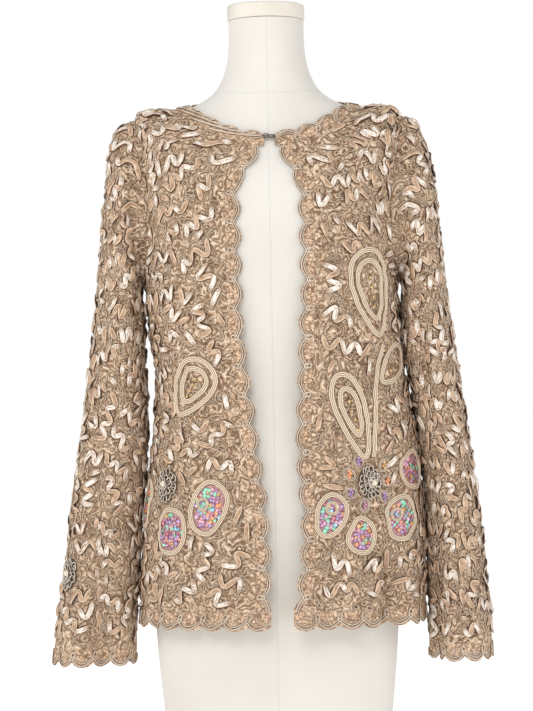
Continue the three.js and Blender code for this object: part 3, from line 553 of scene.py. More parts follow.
# Sleeves: the same lace, each cut in one piece with a seam under the arm, set into the armhole.
# They hang empty beside the body, in long folds, and flare a little at the cuff.
# Sections down each sleeve: outer and inner points, as distance and height, then depth each way.
SLEEVES = {
    -1: (
        (172, 806, 163, 600, 46, 44), (187, 800, 169, 592, 51, 50), (197, 790, 170, 582, 54, 54),
        (204, 771, 168, 570, 56, 57), (209, 742, 166.5, 555, 58, 59), (213, 705, 165.5, 537, 59, 60),
        (218, 664, 166, 516, 59, 60), (222, 620, 166, 491, 58, 59), (227, 567, 165, 460, 57, 57),
        (235, 500, 164, 422, 55, 55), (245, 427, 165, 380, 53, 53), (256, 355, 169, 330, 52, 52),
        (266, 288, 175, 274, 50, 52), (275, 222, 179, 216, 49, 52), (284, 165, 182, 163, 49, 52),
        (290, 124, 183, 124, 50, 52), (293, 101, 184, 101, 51, 53),
    ),
    1: (
        (172, 806, 163, 600, 46, 44), (186, 799, 169, 592, 51, 50), (196, 788, 171, 582, 54, 54),
        (204, 766, 170.5, 570, 57, 57), (211, 735, 169.5, 555, 59, 59), (216, 698, 169.5, 537, 60, 60),
        (220, 656, 170.5, 516, 61, 61), (224, 610, 173, 491, 61, 61), (230, 555, 178, 460, 61, 61),
        (238, 490, 184, 422, 61, 61), (248, 420, 189, 380, 61, 62), (257, 350, 194.5, 330, 62, 62),
        (265, 283, 196.5, 272, 62, 63), (271, 218, 196.5, 214, 63, 64), (276, 162, 198, 161, 64, 65),
        (278, 124, 197, 124, 65, 66), (279, 101, 197, 101, 66, 67),
    ),
}
CUFF_SEAM = 15
# Folds of each sleeve: angle at the cuff from the outer side to the front, how far it moves per
# section, first and last section, depth and width. One past the cuff stays open there.
SLEEVE_FOLDS = {
    -1: (
        (104, -8, 8, 17.5, 14, 26), (60, -4, 9, 17.5, -5, 30), (150, -1, 2, 9, 8, 30),
        (205, 2, 7, 17.5, 9, 26), (262, 3, 9, 17.5, 11, 28), (315, 2, 4, 13, 7, 30),
    ),
    1: (
        (128, -2, 4, 11, 11, 30), (150, -3, 9, 17.5, 8, 26), (92, -2, 10, 17.5, 5, 24),
        (222, 3, 8, 17.5, 11, 30), (285, 2, 9, 17.5, 9, 26), (330, 1, 3, 12, 6, 30),
    ),
}


def sleeve_point(side, psi, section):
    """A point of a sleeve; psi is in degrees from its outer side, round by the front."""
    psi, section = np.broadcast_arrays(np.asarray(psi, float), np.asarray(section, float))
    lower = np.maximum(section, 1)
    outer_x, outer_z, inner_x, inner_z, fore, aft = np.moveaxis(along(SLEEVES[side], lower), -1, 0)
    c = np.cos(np.radians(psi))
    s = np.sin(np.radians(psi))
    pinch = 0
    for at, lean, first, last, depth, width in SLEEVE_FOLDS[side]:
        off = within_turn(psi - at - lean * (CUFF_SEAM - lower))
        held = hump(2 * (lower - first) / (last - first) - 1)
        if last > CUFF_SEAM + 1:
            held = ease((lower - first) / (CUFF_SEAM - first))
        pinch = pinch + depth * hump(off / width) * held
    half = np.hypot(outer_x - inner_x, outer_z - inner_z) / 2
    reach = (half - pinch) * c / (2 * half)
    x = (outer_x + inner_x) / 2 + (outer_x - inner_x) * reach
    z = (outer_z + inner_z) / 2 + (outer_z - inner_z) * reach
    y = -(np.where(s >= 0, fore, aft) - pinch) * s
    tube = np.stack([side * x, y, z], -1)
    ring = SHOULDER + (ARMPIT - SHOULDER) * (1 - c) / 2
    phi = side * (90 - np.sign(s) * ARMHOLE_ANGLE * np.abs(s))
    hole = body_point(phi, ring)
    share = np.clip(section, 0, 1)[..., None]
    return hole * (1 - share) + tube * share


def from_middle(points):
    """Where the inside of a tube is: the middle of each row."""
    return points.mean(1, keepdims=True)


SLEEVE_HEAD_ROWS = 8
SLEEVE_ROWS = 150
SLEEVE_COLUMNS = 121


def sleeve_cloth(side, seed):
    """A sleeve from just outside the armhole to the cuff's seam."""
    head = np.linspace(0.02, 1, SLEEVE_HEAD_ROWS, endpoint=False)
    sections = np.concatenate([head, np.linspace(1, CUFF_SEAM, SLEEVE_ROWS)])[:, None]
    points = sleeve_point(side, np.linspace(-180, 180, SLEEVE_COLUMNS)[None, :], sections)
    return Cloth(points, from_middle(points), seed, around=True)


sleeves = {"sleeve_left": sleeve_cloth(-1, 4), "sleeve_right": sleeve_cloth(1, 5)}
for node, cloth in sleeves.items():
    shells[node] = cloth.mesh(node + "_lace", lace, "lace")
    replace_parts(shells[node], node)

# Satin ribbon: soft, padded and about 8 mm wide, tacked down at each turn in V and W shapes.
# It narrows where it turns and stands up between, so each stretch catches the light by itself;
# its white highlights and light streaks are also painted into the satin's colour.
RIBBON_WIDTH = 8.6
RIBBON_RISE = 2.0
RIBBON_TRIES = 7000
LONG_RUNS_SHARE = 0.6
CLEAR_OF_RIBBON = 8.2
CLEAR_CELLS = 9
MAP_MARGIN = 20
RIBBON_SEED = 40


def reach_along(line):
    """How far along a line each of its points lies."""
    steps = np.linalg.norm(np.diff(line, axis=0), axis=1)
    return np.concatenate([[0], np.cumsum(steps)])


def rounded(corners, step=3.0, cut=0.3):
    """An even line through corners, each of them cut off and smoothed."""
    line = np.asarray(corners, float)
    for _ in range(2):
        first = line[:-1] * (1 - cut) + line[1:] * cut
        second = line[:-1] * cut + line[1:] * (1 - cut)
        inner = np.stack([first, second], 1).reshape(-1, 2)
        line = np.concatenate([line[:1], inner[1:-1], line[-1:]])
    reach = reach_along(line)
    count = max(int(reach[-1] / step) + 1, 3)
    even = np.linspace(0, reach[-1], count)
    return np.stack([np.interp(even, reach, line[:, k]) for k in range(2)], 1)


def sweep(lines, profile, closed):
    """One mesh from lines of (points, normals, width, height, tilt, shade) along a profile."""
    vertices, faces, uv, shades = [], [], [], []
    count = 0
    sides = len(profile)
    for points, normals, width, height, tilt, shade in lines:
        steps = len(points)
        tangent = np.gradient(points, axis=0)
        loop = np.linalg.norm(points[0] - points[-1]) < 1e-6
        if loop:
            tangent[0] = tangent[-1] = points[1] - points[-2]
        beside = np.cross(tangent, normals)
        beside /= np.linalg.norm(beside, axis=1, keepdims=True) + 1e-12
        turn = np.broadcast_to(tilt, (steps,))[:, None]
        out = normals * np.cos(turn) - beside * np.sin(turn)
        beside = beside * np.cos(turn) + normals * np.sin(turn)
        wide = np.broadcast_to(width, (steps,))[:, None, None]
        high = np.broadcast_to(height, (steps,))[:, None, None]
        shape = profile[None, :, :]
        sideways = beside[:, None] * shape[..., :1] * wide
        upwards = out[:, None] * shape[..., 1:] * high
        vertices.append((points[:, None] + sideways + upwards).reshape(-1, 3))
        reach = reach_along(points)
        across = profile[None, :, 0] + 0.5
        uv.append(np.stack(np.broadcast_arrays(across, reach[:, None] / 100), -1).reshape(-1, 2))
        shades.append(np.repeat(np.broadcast_to(shade, (steps,)), sides))
        faces.append(count + quads(steps, sides, closed))
        count += steps * sides
    return np.concatenate(vertices), np.concatenate(faces), np.concatenate(uv), np.concatenate(shades)


def swept(name, lines, profile, closed, finish):
    """The piece that a profile makes along lines."""
    vertices, faces, uv, shades = sweep(lines, np.asarray(profile, float), closed)
    return piece(name, vertices, faces, finish, uv, shades)


def ribbon_runs(cloth, rng, kept):
    """Corner lists of ribbon, thrown over the cloth, long ones first, wherever one has room.

    A map of the cloth with a cell for each millimetre holds what lies too near to a ribbon."""
    runs = []
    low_x, low_y = cloth.start.min(), cloth.fall.min()
    wide, tall = cloth.widths.max(), cloth.down[-1] - low_y
    taken = np.zeros((int(tall) + 3 * MAP_MARGIN, int(wide) + 3 * MAP_MARGIN), bool)
    cells = np.arange(-CLEAR_CELLS, CLEAR_CELLS + 1)
    disc = np.hypot(cells[None, :], cells[:, None]) < CLEAR_OF_RIBBON
    for number in range(RIBBON_TRIES):
        fewest, most = (4, 8) if number < RIBBON_TRIES * LONG_RUNS_SHARE else (2, 4)
        count = rng.integers(fewest, most)
        step = rng.uniform(8, 11)
        lean = rng.normal(0, 0.5) + (math.pi / 2 if rng.random() < 0.2 else 0)
        u = (np.arange(count) - (count - 1) / 2) * step + rng.normal(0, 1.5, count)
        v = rng.uniform(8.5, 12.5) * rng.choice((-1, 1)) * (-1.0) ** np.arange(count)
        v = v + rng.normal(0, 2.0, count)
        x, y = low_x + rng.uniform(0, wide), low_y + rng.uniform(0, tall)
        across = x + u * math.cos(lean) - v * math.sin(lean)
        down = y + u * math.sin(lean) + v * math.cos(lean)
        inside = (across > cloth.edge(down) + 3) & (across < cloth.edge(down) + cloth.width(down) - 3)
        below = (down > cloth.top(across, down) + 4) & (down < cloth.down[-1] - 3)
        if not (inside.all() and below.all()):
            continue
        path = rounded(np.stack([across, down], 1), 3.0, 0.26)
        if not kept(path[:, 0], path[:, 1]):
            continue
        column = (path[:, 0] - low_x).astype(int) + MAP_MARGIN
        row = (path[:, 1] - low_y).astype(int) + MAP_MARGIN
        if taken[row, column].any():
            continue
        for i, j in zip(row - CLEAR_CELLS, column - CLEAR_CELLS):
            taken[i : i + len(cells), j : j + len(cells)] |= disc
        runs.append(np.stack([across, down], 1))
    return runs


def ribbon_lines(cloth, runs, rng):
    """Lines for sweep: each stretch between corners is tilted in its own way and has its own strength of
    painted highlight.
    """
    lines = []
    for corners in runs:
        path = rounded(corners, 2.2, 0.24)
        ends = np.linalg.norm(path[:, None] - corners[None], axis=2).min(1)
        loose = np.clip(ends / 8, 0, 1) ** 0.7
        near_end = np.minimum(*(np.linalg.norm(path - corners[at], axis=1) for at in (0, -1)))
        taper = 0.35 + 0.65 * np.clip(near_end / 5, 0, 1) ** 0.6
        width = RIBBON_WIDTH * (0.72 + 0.28 * loose) * taper
        middles = (corners[:-1] + corners[1:]) / 2
        nearest = np.linalg.norm(path[:, None] - middles[None], axis=2).argmin(1)
        tilt = rng.uniform(-0.4, 0.4, len(middles))[nearest] * loose
        shine = np.where(rng.random(len(middles)) < 0.55, rng.uniform(0.6, 1, len(middles)), 0.15)
        points, normals = cloth.on(path[:, 0], path[:, 1], 0.6 + np.abs(np.sin(tilt)) * width * 0.4)
        height = RIBBON_RISE * (0.5 + 0.5 * loose)
        lines.append((points, normals, width, height, tilt, shine[nearest] * loose**1.5))
    return lines


satin = Finish("satin_ribbon")
across = satin.cloth.axis("X")
along_it = satin.cloth.axis("Y")
bright = satin.attribute("shade")
middle = (across - 0.5).size()
stretched = {0: across * 5.0, 1: along_it * 9.0, 2: bright * 9.0}
lengthwise = satin.place.node("ShaderNodeCombineXYZ", stretched)
highlight_streak = lengthwise.noise(1.0, 2.0, 0.6).rise(0.40, 0.60)
puff_light = satin.place.noise(110.0, 2.0).rise(0.35, 0.65)
# Painted highlight: each stretch is painted near white in light lengthwise streaks, by its own highlight
# strength and a little more on soft patches; between the streaks the colour is painted darker.
painted_sheen = (bright * (highlight_streak * 0.75 + 0.4) + puff_light * 0.06).rise(0.2, 0.68)
dull = (highlight_streak * 0.7 + puff_light * 0.3).mix((0.37, 0.21, 0.12), (0.80, 0.575, 0.40))
silk = painted_sheen.mix(dull, (1.0, 0.93, 0.85))
selvedge = (middle.rise(0.25, 0.31) * 0.9).mix(silk, (0.90, 0.69, 0.50))
# Painted shadow: a thin dark brown line along each edge of the ribbon.
satin.set(Base_Color=middle.rise(0.36, 0.42).mix(selvedge, (0.085, 0.036, 0.016)), Specular_IOR_Level=0.3)
satin.set(Roughness=0.36 - painted_sheen * 0.12, Coat_Weight=0.05, Coat_Roughness=0.3)
satin.bump(highlight_streak * 0.6 + puff_light * 0.4, 0.0008)
# Half of the padded section, as (across, up) from the edge to the crown.
RIBBON_HALF = ((-0.5, -0.25), (-0.43, 0.45), (-0.34, 0.75), (-0.16, 1.0))
RIBBON_PROFILE = (*RIBBON_HALF, *((-across, up) for across, up in RIBBON_HALF[::-1]))
# Places kept free for the leaves and flowers: middle, and half width and height.
KEPT_FREE = {
    "front_left": (
        (-103, 458, 38, 45), (-137, 334, 24, 28), (-86, 306, 32, 42), (-133, 276, 32, 36),
        (-160, 309, 18, 38),
    ),
    "front_right": (
        (127, 575, 36, 63), (98, 419, 33, 62), (132, 440, 13, 80), (155, 482, 26, 36), (119, 336, 24, 34),
        (68, 294, 28, 35), (107, 267, 28, 31), (161, 287, 34, 36), (174, 347, 32, 34),
    ),
}
# The flower heart on the left sleeve: by its angle and section.
HEART_ON_SLEEVE = sleeve_point(-1, 42, 13)
HEART_CLEARANCE = (22, 26)


def free_of(spots):
    """A test that tells whether places on the cloth are clear of (middle, half sizes) spots."""

    def kept(x, y):
        return all((((x - cx) / w) ** 2 + ((y - cy) / h) ** 2).min() > 1 for (cx, cy), w, h in spots)

    return kept


all_cloths = {**body_cloths, **sleeves}
extras = {node: [] for node in all_cloths}
for number, (node, cloth) in enumerate(all_cloths.items()):
    rng = np.random.default_rng(RIBBON_SEED + number)
    spots = [(cloth.pin(laid(x, z)[0]), w, h) for x, z, w, h in KEPT_FREE.get(node, ())]
    if node == "sleeve_left":
        spots.append((cloth.pin(HEART_ON_SLEEVE), *HEART_CLEARANCE))
    lines = ribbon_lines(cloth, ribbon_runs(cloth, rng, free_of(spots)), rng)
    extras[node].append(swept(node + "_ribbon", lines, RIBBON_PROFILE, False, satin))

# Scroll cord: a fine twisted cord, couched in loops and curls between the ribbons, all over.
SCROLL_CORD = 1.7
SCROLL_PITCH = 17.0
SCROLL_STEP = 1.6
SCROLL_SEED = 60
CORD_PROFILE = ((-0.5, -0.2), (0.0, 0.8), (0.5, -0.2))


def even_line(place, size, shade):
    """A line for sweep, as wide as it is high."""
    return (*place, size, size, 0.0, shade)


def scrolls(cloth, rng):
    """Wandering lines, each of which bends one way and then the other, tightly or loosely."""
    lines = []
    for y in np.arange(cloth.fall.min() + 6, cloth.down[-1] - 4, SCROLL_PITCH):
        for x in np.arange(cloth.edge(y) + 6, cloth.edge(y) + cloth.width(y) - 6, SCROLL_PITCH):
            steps = rng.integers(16, 26)
            bends = rng.uniform(0.14, 0.42, 4) * rng.choice((-1, 1)) * np.array([1, -1, 1, -1])
            heading = rng.uniform(0, 6.3) + np.cumsum(np.repeat(bends, 7)[:steps] * SCROLL_STEP)
            path_x = x + rng.uniform(-6, 6) + np.cumsum(np.cos(heading)) * SCROLL_STEP
            path_y = y + rng.uniform(-6, 6) + np.cumsum(np.sin(heading)) * SCROLL_STEP
            clear = (path_y > cloth.top(path_x, path_y) + 2) & (path_y < cloth.down[-1] - 2)
            inside = (path_x > cloth.edge(y) + 2) & (path_x < cloth.edge(y) + cloth.width(y) - 2)
            if clear.all() and (inside.all() or cloth.around):
                place = cloth.on(path_x, path_y, 0.5)
                lines.append(even_line(place, SCROLL_CORD, rng.uniform(0, 0.8)))
    return lines


cord = Finish("couched_cord")
flank_shade = (cord.cloth.axis("X") - 0.5).size()
strands = (cord.cloth.axis("Y") * 420.0).sine()
fade = cord.place.noise(40.0, 2.0).rise(0.3, 0.7)
yarn = (fade * 0.35 + cord.attribute("shade") * 0.65).mix((0.54, 0.37, 0.24), (0.97, 0.82, 0.66))
# Painted shade: the cord's two sides are painted dark brown, as shadow along them.
cord.set(Base_Color=flank_shade.rise(0.27, 0.43).mix(yarn, (0.12, 0.05, 0.022)))
cord.set(Roughness=0.5 - fade * 0.1, Specular_IOR_Level=0.25)
cord.bump(strands, 0.0003)
for number, (node, cloth) in enumerate(all_cloths.items()):
    rng = np.random.default_rng(SCROLL_SEED + number)
    lines = scrolls(cloth, rng)
    extras[node].append(swept(node + "_scroll_cord", lines, CORD_PROFILE, False, cord))

# Scalloped border lace: a strip of the same net round the neck, opening, hem and cuffs. Two fine
# cords follow each scallop and turn in a small loop at each notch; tiny picots edge it.
SCALLOP_NOTCH = 0.4
SCALLOP_STEPS = 12
PICOT = 0.035
BORDER_ROWS = 6
BORDER_CORDS = ((0.09, 2.3), (0.24, 2.0))
BORDER_START = 0.015
BORDER_STEPS = 400
BORDER_SEED = 80


def round_profile(sides):
    """A round cord's profile, 1 wide and 1 high."""
    turn = np.linspace(0, 2 * np.pi, sides, endpoint=False)
    return np.stack([-np.sin(turn) / 2, np.cos(turn) / 2], 1)


def border_strip(points_at, scallops, inside):
    """A strip cut to its scallops, and the same strip uncut, from the seam to the tips."""
    t = np.linspace(0, 1, BORDER_STEPS)
    mid = points_at(t, np.full_like(t, 0.5))
    reach = reach_along(mid)
    steps = np.linspace(0, reach[-1], int(scallops * SCALLOP_STEPS) + 1)
    even = np.interp(steps, reach, t)
    share = np.linspace(BORDER_START, 1, BORDER_ROWS)[:, None]
    tips = np.linspace(0, scallops, len(even))
    picot = PICOT * (np.arange(len(even)) % 2)
    depth = 1 - SCALLOP_NOTCH * (1 - np.abs(np.sin(np.pi * tips))) + picot
    rows = np.broadcast_to(even, (BORDER_ROWS, len(even)))
    flat = points_at(rows, share * np.ones_like(even))
    cut = points_at(rows, share * depth)
    return Cloth(cut, inside(cut), from_top=True), Cloth(flat, inside(flat), from_top=True)


def edge_cords(flat, scallops, rng):
    """Two cords along the scallops. At each notch they cross and turn in an eye inwards."""
    width = flat.down[-1]
    length = flat.widths.mean()
    turn = np.linspace(0, 2 * np.pi, 11)[1:-1]
    lines = []
    for inset, size in BORDER_CORDS:
        across, down = [], []
        for k in range(math.ceil(scallops)):
            part = np.linspace(0.06, 0.94, 13)
            part = part[k + part <= scallops]
            across.append((k + part) / scallops * length)
            down.append(width * (1 - SCALLOP_NOTCH * (1 - np.abs(np.sin(np.pi * part))) - inset))
            if k + 1 < scallops:
                eye = rng.uniform(0.85, 1.1) * (1.2 - inset)
                across.append((k + 1) / scallops * length + 2.8 * eye * np.sin(turn))
                notch = width * (1 - SCALLOP_NOTCH - inset)
                down.append(notch + 1 - min(4.6 * eye, notch / 2 - 0.6) * (1 - np.cos(turn)))
        place = flat.on(np.concatenate(across), np.concatenate(down), 0.7)
        lines.append(even_line(place, size, 0.95 - inset))
    return lines


def front_edge(side):
    """The border's place on a front edge, by shares along it and out to its tips."""

    def at(t, share):
        ring = NECK_SEAM + (HEM_SEAM - NECK_SEAM) * t
        seam, tips = opening_phi(side, ring, EDGING_WIDTH), opening_phi(side, ring, 0)
        return body_point(seam + (tips - seam) * share, ring)

    return at


def round_body(seam_ring, tip_ring):
    """The border's place round the neck or the hem, from one side of the opening to the other."""

    def at(t, share):
        ring = seam_ring + (tip_ring - seam_ring) * share
        low = opening_phi(1, np.full_like(ring, seam_ring), 0)
        high = opening_phi(-1, np.full_like(ring, seam_ring), 0) + 360
        return body_point(low + (high - low) * t, ring)

    return at


def round_cuff(side):
    """The border's place round a cuff."""
    return lambda t, share: sleeve_point(side, -180 + 360 * t, CUFF_SEAM + share)


border = Finish("border_lace")
border_net = border.place.walls(480.0)
border_scroll = border.place.warped(90.0, 0.01).walls(170.0)
border_line = border_scroll.rise(0.12, 0.04)
border_work = border.place.noise(130.0, 3.0).rise(0.42, 0.52)
border_holes = border_net.rise(0.1, 0.24) * (1 - border_work)
border_tone = border.place.noise(280.0, 3.0).rise(0.3, 0.7)
border_ground = border_tone.mix((0.54, 0.35, 0.22), (0.90, 0.665, 0.47))
# Painted shade: the border's holes are painted near black, as shadow seen through them; they also let a
# little of what lies behind show.
border_ground = (border_holes * 0.8).mix(border_ground, (0.09, 0.042, 0.02))
border.set(Base_Color=(border_line * 0.65).mix(border_ground, (0.15, 0.068, 0.032)))
border.set(Roughness=0.7 - border_tone * 0.08, Alpha=1 - border_holes * 0.3)
border.set(Specular_IOR_Level=0.2, Sheen_Weight=0.03)
border.bump(border_tone * 0.5 - border_holes, 0.0008)
# Where each border runs, how many scallops it has, and where its inside is.
BORDERS = {
    "edging_front_left": (front_edge(-1), 16.5, from_axis),
    "edging_front_right": (front_edge(1), 16.5, from_axis),
    "edging_neck": (round_body(NECK_SEAM, 0), 19, from_axis),
    "edging_hem": (round_body(HEM_SEAM, 11), 34, from_axis),
    "edging_cuff_left": (round_cuff(-1), 12, from_middle),
    "edging_cuff_right": (round_cuff(1), 12, from_middle),
}
borders = {}
for number, (node, (points_at, scallops, inside)) in enumerate(BORDERS.items()):
    strip, flat = border_strip(points_at, scallops, inside)
    borders[node] = strip.mesh(node + "_net", border, "edging")
    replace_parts(borders[node], node)
    rng = np.random.default_rng(BORDER_SEED + number)
    lines = edge_cords(flat, scallops, rng)
    borders[node + "_cords"] = swept(node + "_cords", lines, round_profile(5), True, cord)

# Ribbed tape leaves: a woven tape with three ridges, laid as two nested drops with gold beads
# inside. One is on the left front. The right front has two, a small one of a single tape, and a
# stem.
TAPE_WIDTH = 7.0
TAPE_HEIGHT = 2.0
TAPE_RIDGES = 3
TAPE_LIFT = 0.9
OUTLINE_STEPS = 44
LEAF_FOOT = 0.5
ridges = np.linspace(-0.5, 0.5, 7 * TAPE_RIDGES)
ridge_heights = 0.6 + 0.4 * np.abs(np.sin(np.pi * (ridges + 0.5) * TAPE_RIDGES))
TAPE_PROFILE = np.stack([ridges, ridge_heights], 1)
TAPE_PROFILE[0, 1] = TAPE_PROFILE[-1, 1] = -0.3


def leaned(u, v, lean):
    """A place, right and up, turned by an angle in degrees to the right."""
    c, s = math.cos(math.radians(lean)), math.sin(math.radians(lean))
    return u * c + v * s, v * c - u * s


def leaf_outline(length, width, lean, share):
    """A drop: round at the top and drawn in at its foot, leaned to the right."""
    turn = np.linspace(0, 2 * np.pi, OUTLINE_STEPS)
    v = length / 2 * np.cos(turn)
    u = width / 2 * np.sin(turn) * (LEAF_FOOT + (1 - LEAF_FOOT) * (0.5 + v / length)) * 1.2
    return leaned(u * share, v * share + (share - 1) * -0.1 * length, lean)


tape = Finish("ribbed_tape")
lit_ridge = (tape.cloth.axis("X") * (TAPE_RIDGES * math.pi)).sine().size().rise(0.25, 0.85)
weave = tape.place.noise(900.0, 2.0).rise(0.3, 0.7)
# Painted light and shade: the tape's three ridges are painted light, and the grooves between them and its
# two edges dark.
tape_colour = (lit_ridge * 0.85 + weave * 0.15).mix((0.30, 0.18, 0.10), (0.98, 0.83, 0.64))
tape.set(Base_Color=tape_colour, Roughness=0.48 - weave * 0.1, Specular_IOR_Level=0.3)
tape.bump(weave + lit_ridge, 0.0003)
# Middle, length, width, lean and the size of each drop.
LEAVES = {
    "leaf_left": (-103, 458, 76, 57, 31, (1, 0.6)),
    "leaf_right_upper": (127, 575, 110, 59, -10, (1, 0.68)),
    "leaf_right_lower": (100, 419, 108, 42, -13, (1, 0.56)),
    "leaf_right_side": (153, 482, 62, 36, 48, (1,)),
}
LEAF_BEAD = 2.2
gold_spots = []
for name, (x, z, length, width, lean, shares) in LEAVES.items():
    lines = []
    for share in shares:
        place = laid(x, z, *leaf_outline(length, width, lean, share), TAPE_LIFT)
        lines.append((*place, TAPE_WIDTH, TAPE_HEIGHT, 0.0, 0.5))
    leaf = swept(name + "_tape", lines, TAPE_PROFILE, False, tape)
    nodes = [name + end for end in ("_outer", "_inner")[: len(shares)]]
    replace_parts(leaf, *nodes)
    extras["front_left" if x < 0 else "front_right"].append(leaf)
    for reach in np.linspace(-0.17, 0.17, 4 if len(shares) > 1 else 1) * length:
        gold_spots.append((laid(x, z, *leaned(0, reach, lean), 2.0)[0], LEAF_BEAD))
STEM_ANGLE = 30
STEM = ((140, 508), (137, 499), (130, 472), (129, 438), (128, 404), (125, 366))
stem_x, stem_z = rounded(STEM, 3.0).T
stem_rings = ring_at(STEM_ANGLE, stem_z)
stem_place = on_front(1, angle_at(stem_x, stem_rings), stem_rings, TAPE_LIFT)
stem_line = (*stem_place, TAPE_WIDTH, TAPE_HEIGHT, 0.0, 0.5)
stem = swept("leaf_stem_tape", [stem_line], TAPE_PROFILE, False, tape)
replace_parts(stem, "leaf_stem")
extras["front_right"].append(stem)

# Sequinned petals: cupped, pearly sequins of mixed colours, sewn inside ribbed tape on a mauve
# net. Three are on the left front; four are on the right, with small drops round a flower heart.
# The tape dips in at some places, and three petals hold a curl of narrower tape.
PETAL_TAPE_WIDTH = 6.6
PETAL_TAPE_HEIGHT = 2.2
PETAL_RIM_SHARE = 0.92
PETAL_SEED = 7
CURL_TAPE_WIDTH = 4.0
CURL_TAPE_HEIGHT = 1.8
# Middle, length, width and lean; dips as (angle from the tip, depth); and the curl's place.
PETALS = {
    "petal_left_inner": (-86, 306, 72, 52, 8, ((255, 0.14),), (-7, 4)),
    "petal_left_lower": (-133, 276, 60, 52, -6, ((75, 0.12),), None),
    "petal_left_side": (-163, 309, 66, 26, 6, (), None),
    "petal_right_1": (68, 294, 58, 43, 18, ((250, 0.18),), (3, 9)),
    "petal_right_2": (107, 268, 48, 42, -6, ((310, 0.14), (50, 0.14)), None),
    "petal_right_3": (161, 287, 58, 54, -42, ((175, 0.2),), (-10, 5)),
    "petal_right_4": (174, 347, 52, 50, -40, ((10, 0.16), (235, 0.16)), None),
}
# Small drops: middle and lean, and the colour of each by its place in the list below.
DROPS = (
    (93, 345, -60), (106, 361, -25), (139, 355, 40), (142, 335, 80), (94, 321, -110),
    (112, 305, 180), (138, 315, 130),
)
SEQUIN_COLOURS = np.array([
    (0.52, 0.14, 0.30), (0.36, 0.14, 0.42), (0.74, 0.28, 0.36), (0.88, 0.28, 0.03), (0.80, 0.42, 0.06),
    (0.16, 0.72, 0.44), (0.16, 0.52, 0.66), (0.60, 0.36, 0.50), (0.60, 0.06, 0.10), (0.36, 0.24, 0.52),
])
SEQUIN_PITCHES = (4.8, 4.5)
SEQUIN_RADII = (2.2, 3.3)
DROP_SIZE = (19, 14)
DROP_CORD = 1.6
DROP_COLOURS = (3, 1, 4, 3, 1, 0, 1)
SEQUIN_SHARES = np.array([0.20, 0.14, 0.13, 0.11, 0.06, 0.17, 0.06, 0.06, 0.04, 0.03])


def dipped(turn, dips):
    """How far out the rim goes at an angle, where 1 is an even oval."""
    out = np.ones_like(turn)
    for at, deep in dips:
        off = within_turn(np.degrees(turn) - at)
        out = out * (1 - deep * hump(off / 55))
    return out


def petal_rim(length, width, lean, dips, share, count=OUTLINE_STEPS):
    """A petal's rim, or a smaller line inside it."""
    turn = np.linspace(0, 2 * np.pi, count)
    out = dipped(turn, dips) * share
    u = width / 2 * np.sin(turn) * (1 + 0.12 * np.sin(2 * turn)) * out
    return leaned(u, length / 2 * np.cos(turn) * out, lean)


SEQUIN_SIDES = 8
SEQUIN_HIGHLIGHT = (0.97, 0.96, 0.92, 1.0)


def sequins(name, spots, rng):
    """Cupped discs at (point, normal, colour, radius), each tipped a little."""
    turn = np.linspace(0, 2 * np.pi, SEQUIN_SIDES, endpoint=False)
    vertices, faces, colours = [], [], []
    for point, normal, colour, radius in spots:
        tipped = normal + rng.normal(0, 0.16, 3)
        tipped /= np.linalg.norm(tipped)
        one = np.cross(tipped, (0.3, 0.1, 0.9))
        one /= np.linalg.norm(one)
        two = np.cross(tipped, one)
        rim = len(vertices)
        cup = rim + SEQUIN_SIDES
        for share, rise in ((1.0, 0.55), (0.45, 0.15)):
            for a in turn:
                flat = (one * math.cos(a) + two * math.sin(a)) * radius * share
                vertices.append(point + flat + tipped * rise)
        vertices.append(point + tipped * 0.25)
        for k in range(SEQUIN_SIDES):
            n = (k + 1) % SEQUIN_SIDES
            faces.append((rim + k, rim + n, cup + n, cup + k))
            faces.append((cup + k, cup + n, cup + SEQUIN_SIDES))
        # Painted light and shade: each sequin's rim is painted darker, its inner ring lighter and its
        # middle near white, as a highlight.
        colours += [(*(colour * 0.85), 1.0)] * SEQUIN_SIDES
        colours += [(*(colour * 0.9 + 0.1), 1.0)] * SEQUIN_SIDES
        colours.append(SEQUIN_HIGHLIGHT)
    return piece(name, vertices, faces, spangle, colours=np.array(colours))


spangle = Finish("pearly_sequins")
hue = spangle.attribute("tint", "Color")
shift = spangle.place.noise(420.0, 1.0).rise(0.35, 0.7)
spangle.set(Base_Color=(shift * 0.15).mix(hue, (0.86, 0.72, 0.78)), Metallic=0.3)
spangle.set(Roughness=0.24 + shift * 0.1, Coat_Weight=0.25, Coat_Roughness=0.15)


def low_pad(name, rims, finish):
    """A low pad from rims with the same number of points, from the widest to the middle."""
    faces = quads(len(rims), len(rims[0]), True)[:, [1, 0, 3, 2]]
    return piece(name, np.concatenate(rims), faces, finish)


def mottled(name, scale, detail, colours, roughness, depth=0.0, fine=0.5, **settings):
    """A plain finish whose colour and roughness go from one value to another in soft patches."""
    made = Finish(name)
    patches = made.place.noise(scale, detail, fine).rise(0.3, 0.7)
    low, high = roughness
    made.set(Base_Color=patches.mix(*colours), Roughness=low + patches * (high - low), **settings)
    if depth:
        made.bump(patches, depth)
    return made


